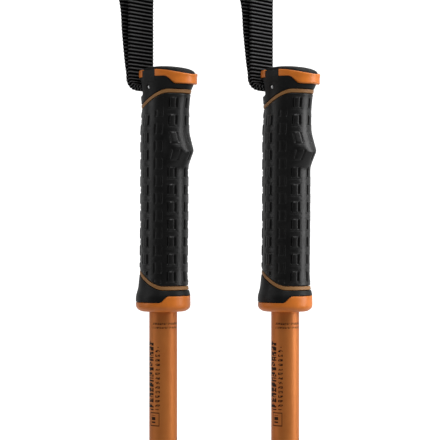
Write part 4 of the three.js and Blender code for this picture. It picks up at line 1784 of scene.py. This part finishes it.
# ---- The length clamp --------------------------------------------------------------------
@dataclass
class LengthClamp:
    """The clamp at the foot of the upper shaft, with its cam lever and tension screw."""

    bench: Bench
    patterns: Patterns
    low: float = 196.0
    high: float = 240.0
    radius: float = 13.0
    seat: float = 214.0
    ear: float = 7.0
    screw: tuple[float, float] = (-17.0, 213.0)
    cam_y: float = -12.3
    cam_low: float = 204.0
    cam_high: float = 222.0
    # The arm's first and last turn, and its radii: at its start, and how much is lost by its end.
    arm_turns: tuple[float, float] = (222.0, 345.0)
    arm_outer: tuple[float, float] = (24.0, 6.8)
    arm_inner: tuple[float, float] = (19.5, 5.3)

    def dress(self) -> None:
        """Build every piece of the clamp."""
        self._collar()
        self._lever()
        self._screw()
        bench, x = self.bench, self.screw[0]
        washer = bench.outline(
            "cam_washer", rectangle(x - 5, x + 5, 205, 221), -7.8, -7.3, across=True
        )
        bevel(washer, 0.15, 2)
        carve(washer, bench.rod("hole", [(2.3, -9.0), (2.3, -6.0)], self.screw))
        bench.settle(washer, "steel", "pole", ["cam_washer"])
        pin = bench.lathe(
            "barrel_pin",
            [(0, 203), (1.9, 203), (2.4, 203.5), (2.4, 222.5), (1.9, 223), (0, 223)],
            32, (x, self.cam_y),
        )
        bench.settle(pin, "steel", "pole", ["barrel_pin"])
        bench.dress_node("clamp_bush", "pale_plastic")
        bench.dress_node("strap_bush", "pale_plastic")

    def _collar(self) -> None:
        """Build the split collar with its ears, a grip ring and grooves."""
        bench, low, high, radius = self.bench, self.low, self.high, self.radius
        profile = [
            (9.0, low), (radius - 1.5, low), (radius - 0.5, low + 0.4), (radius, low + 1.5),
            (radius, 224), (radius - 0.45, 224.4), (radius - 0.45, 225.4), (radius, 225.8),
            (radius, 228), (radius - 0.45, 228.4), (radius - 0.45, 229.4), (radius, 229.8),
            (radius, high - 6), (radius - 0.4, high - 4.5), (radius - 1.9, high - 0.6),
            (radius - 2.6, high), (9.35, high), (9.35, self.seat), (9.0, self.seat),
        ]
        collar = bench.lathe("clamp_collar", profile)
        ears = bench.outline("ears", rectangle(-22, -10, -self.ear, self.ear), 203, 223)
        bevel(ears, 1.6, 4)
        carve(ears, bench.lathe("bore", [(0, low - 1), (9.6, low - 1), (9.6, high), (0, high)], 64))
        carve(collar, ears, "UNION")
        carve(collar, bench.outline("slit", rectangle(-30, -7, -1, 1), low - 1, 228))
        carve(collar, bench.rod("screw_hole", [(2.4, -12), (2.4, 12)], self.screw))
        bench.settle(collar, "black_plastic", "pole", ["clamp_collar"], smooth=35)

    def _lever(self) -> None:
        """Build the cam and the arm that wraps round the collar."""
        bench, cam_at = self.bench, (self.screw[0], self.cam_y)
        start, end = self.arm_turns
        turns, share = np.radians(np.linspace(start, end, 40)), np.linspace(0, 1, 40)
        outer, inner = (
            np.stack([(root - loss * share) * np.cos(turns), (root - loss * share) * np.sin(turns)])
            for root, loss in (self.arm_outer, self.arm_inner)
        )
        tip = arc((0, 0), 19.5, [352])
        outline = list(map(tuple, outer.T)) + tip + list(map(tuple, inner.T[::-1]))
        arm = bench.outline("clamp_lever", outline, self.cam_low, self.cam_high)
        bevel(arm, 0.8, 3, 50)
        cam = bench.lathe(
            "cam",
            [(0, 204), (3.8, 204), (4.2, 204.4), (4.2, 221.6), (3.8, 222), (0, 222)], 48, cam_at,
        )
        carve(arm, cam, "UNION")
        for low, high, radius, sides in ((210.3, 215.7, 5.4, 48), (200, 226, 2.7, 40)):
            profile = [(0, low), (radius, low), (radius, high), (0, high)]
            carve(arm, bench.lathe("room", profile, sides, cam_at))
        root, loss = self.arm_outer
        for turn in (262, 274, 286, 298, 310):
            out = root - loss * (turn - start) / (end - start) + 0.25
            rib = bench.lathe(
                "finger_rib",
                [(0, 206.5), (0.6, 206.7), (0.75, 207.2), (0.75, 218.8), (0.6, 219.3), (0, 219.5)],
                16, arc((0, 0), out, [turn])[0],
            )
            carve(arm, rib)
        bench.settle(arm, "black_plastic", "lever", ["clamp_lever"], smooth=35)

    def _screw(self) -> None:
        """Build the tension screw, whose head is knurled by the knurl tree."""
        bench, (x, z) = self.bench, self.screw
        turn = full_turn(144)
        profile = [
            (0.0, -9.6, 0), (1.6, -9.6, 0), (2.0, -9.2, 0), (2.0, 7.3, 0), (4.9, 7.3, 0),
            (5.4, 7.8, 1), (5.4, 9.4, 1), (5.4, 11.1, 1), (4.9, 11.6, 0), (3.4, 11.7, 0),
            (3.1, 11.2, 0), (0.0, 11.2, 0),
        ]
        loops = cross_rings([point[:2] for point in profile], self.screw, turn)
        screw = bench.loft("tension_screw", loops, False)
        set_numbers(screw, "turn", np.tile(np.degrees(turn), len(profile)))
        set_numbers(screw, "amount", np.repeat([a for _, _, a in profile], len(turn)))
        weld(screw, 1e-3)
        outward(screw)
        run_nodes(screw, self.patterns.knurl, {"Material": bench.finishes["steel"]})
        coin = bench.outline(
            "coin_slot", rectangle(x - 3, x + 3, z - 0.5, z + 0.5), 10.4, 12.5, across=True
        )
        carve(screw, coin)
        bench.settle(screw, "", "screw", ["tension_screw"], smooth=35, slot="steel")


# ---- The tip and the basket --------------------------------------------------------------
@dataclass
class TipAndBasket:
    """The ferrule, the snow basket with its clip, and the steel tip."""

    bench: Bench
    basket_radius: float = 23.5
    holes: int = 6

    def dress(self) -> None:
        """Build every piece of the tip."""
        bench = self.bench
        ribs = []
        for k in range(5):
            z = 70.0 + 4 * k
            ribs += [(9.75, z), (9.45, z + 0.4), (9.45, z + 1.3), (9.75, z + 1.7)]
        ferrule = bench.lathe(
            "tip_ferrule",
            [(3.5, 22), (4.3, 22), (4.6, 22.4), (6.5, 43), (7.2, 46), (7.2, 60), (10.0, 60),
             (10.2, 60.3), (10.2, 63), (9.8, 66), *ribs, (9.35, 111), (9.05, 111.9), (8.8, 112),
             (8.2, 112), (8.2, 61.7), (3.5, 61.7)],
        )
        bench.settle(ferrule, "black_plastic", "lower", ["tip_ferrule"])
        clip = bench.lathe(
            "basket_clip",
            [(7.5, 44.4), (7.7, 44.2), (9.1, 44.2), (9.4, 44.5), (9.4, 46.7), (9.1, 47),
             (7.7, 47), (7.5, 46.8)],
        )
        bench.settle(clip, "black_plastic", "lower", ["basket_clip"])
        tip = bench.lathe(
            "steel_tip",
            [(0, 0.9), (0.9, 0.5), (1.7, 0.0), (2.1, 0.1), (2.4, 0.5), (2.5, 2.2), (3.2, 5),
             (3.2, 7.5), (2.9, 7.9), (2.9, 8.6), (3.2, 9.0), (3.2, 40), (0, 40)], 64,
        )
        bench.settle(tip, "steel", "lower", ["steel_tip"])
        self._basket()

    def _basket(self) -> None:
        """Build the basket, with its holes and a rolled rim."""
        bench, radius = self.bench, self.basket_radius
        basket = bench.lathe(
            "basket",
            [(7.5, 47.4), (7.7, 47.3), (10.2, 47.3), (10.4, 47.6), (10.4, 51.2), (11.2, 51.8),
             (radius - 1.6, 54.0), (radius - 0.4, 54.6), (radius, 55.5), (radius, 57.9),
             (radius - 0.4, 58.5), (radius - 1.0, 58.4), (radius - 2.5, 57.0), (11.4, 54.9),
             (10.4, 54.9), (10.4, 59.2), (10.1, 59.6), (7.8, 59.6), (7.5, 59.3)],
        )
        for i in range(self.holes):
            outline = []
            for turns, out in (
                (np.linspace(-13, 13, 7), 12.6), ([19], 16.5), (np.linspace(13, -13, 7), 19.6),
                ([-19], 16.5),
            ):
                outline += arc((0, 0), out, [360 / self.holes * i + turn for turn in turns])
            carve(basket, bench.outline("hole", outline, 45, 65))
        bench.settle(basket, "black_plastic", "basket_body", ["basket"], smooth=35)


# ---- The studio --------------------------------------------------------------------------
WHITE = (1.0, 1.0, 1.0, 1.0)
# How bright the world looks to the camera over its own light, and the light that it gives.
WORLD_SEEN, WORLD_LIGHT = 0.8, 0.06


@dataclass
class Studio:
    """A plain white sweep, soft lights and the camera."""

    eye: tuple[float, float, float] = (0.02635, -1.0727, -0.2855)
    lens: float = 133.6

    def build(self) -> None:
        """Set everything up."""
        self._world()
        self._sweep()
        self._light("Right softbox", (1.0, -0.14, 0.1), (0.5, 1.3), 12.6)
        self._light("Left softbox", (-1.0, -0.25, 0.1), (0.4, 1.2), 3.4)
        self._light("Front softbox", (0.3, -0.8, 0.85), (0.6, 0.5), 9.6)
        self._light("Top softbox", (0.55, 0.2, 0.7), (0.45, 0.45), 4.0)
        self._camera()
        bpy.context.scene.view_settings.view_transform = "Standard"

    @staticmethod
    def _world() -> None:
        """Give the world a soft, even grey that is pale where the camera sees it."""
        world = bpy.data.worlds.new("Studio")
        world.use_nodes = True
        graph = Graph(world.node_tree)
        light = graph.seen() * WORLD_SEEN + WORLD_LIGHT
        grey = graph.add("ShaderNodeBackground", WHITE, light)
        graph.add("ShaderNodeOutputWorld", grey.outputs[0])
        bpy.context.scene.world = world

    @staticmethod
    def _sweep() -> None:
        """Make the backdrop, which curves down into the floor and is clear from behind."""
        floor, back, front, half, bend = -1.6, 1.3, -2.6, 3.2, 0.6
        turn = np.linspace(0, math.pi / 2, 13)
        profile = [(front, floor)]
        profile += [(back - bend + bend * math.sin(t), floor + bend - bend * math.cos(t))
                    for t in turn]
        profile += [(back, 1.9)]
        points = [(x, y, z) for y, z in profile for x in (-half, half)]
        faces = [(2 * i, 2 * i + 1, 2 * i + 3, 2 * i + 2) for i in range(len(profile) - 1)]
        data = bpy.data.meshes.new("Backdrop")
        data.from_pydata(points, [], faces)
        data.polygons.foreach_set("use_smooth", [True] * len(faces))
        sweep = bpy.data.objects.new("Backdrop", data)
        bpy.context.scene.collection.objects.link(sweep)
        material = bpy.data.materials.new("White paper")
        material.use_nodes = True
        graph = Graph(material.node_tree)
        paper = graph.add("ShaderNodeBsdfPrincipled")
        graph.wire(
            paper, Base_Color=(0.4, 0.4, 0.4, 1.0), Roughness=0.9,
            Emission_Color=WHITE, Emission_Strength=graph.seen() * 0.5 + 0.5,
        )
        behind = graph.add("ShaderNodeNewGeometry").outputs["Backfacing"]
        clear = graph.add("ShaderNodeBsdfTransparent").outputs[0]
        mix = graph.add("ShaderNodeMixShader", behind, paper.outputs["BSDF"], clear)
        graph.add("ShaderNodeOutputMaterial", mix.outputs[0])
        data.materials.append(material)

    @staticmethod
    def _light(
        name: str, place: Sequence[float], size: Sequence[float], power: float,
        aim: Sequence[float] = (0.026, -0.022, -0.28),
    ) -> None:
        """Add a rectangular area light.

        Args:
            name: The light's name.
            place: Where it stands.
            size: Its width and height.
            power: Its power in watts.
            aim: The point it faces.
        """
        data = bpy.data.lights.new(name, "AREA")
        data.shape, data.size, data.size_y, data.energy = "RECTANGLE", size[0], size[1], power
        light = bpy.data.objects.new(name, data)
        light.location = place
        toward = Vector(aim) - Vector(place)
        light.rotation_euler = toward.to_track_quat("-Z", "Y").to_euler()
        bpy.context.scene.collection.objects.link(light)

    def _camera(self) -> None:
        """Place the camera level with the middle of what it shows."""
        data = bpy.data.cameras.new("Camera")
        data.lens, data.sensor_width = self.lens, 36.0
        camera = bpy.data.objects.new("Camera", data)
        camera.location = self.eye
        camera.rotation_euler = (math.pi / 2, 0.0, 0.0)
        bpy.context.scene.collection.objects.link(camera)
        bpy.context.scene.camera = camera


# ---- The pair ----------------------------------------------------------------------------
class PolePair:
    """Both poles of the pair."""

    def __init__(self) -> None:
        """Build what the poles share."""
        self.finishes = Finishes()
        self.patterns = Patterns()

    def dress(self) -> None:
        """Build both poles."""
        for side in Side:
            bench = Bench(side, self.finishes)
            Grip(bench, self.patterns).dress()
            WristStrap(bench, self.patterns).dress()
            Shafts(bench).dress()
            LengthClamp(bench, self.patterns).dress()
            TipAndBasket(bench).dress()


def main() -> None:
    """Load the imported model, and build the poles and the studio."""
    logging.basicConfig(level=logging.INFO, format="%(name)s: %(message)s")
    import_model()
    PolePair().dress()
    Studio().build()


if __name__ == "__main__":
    main()
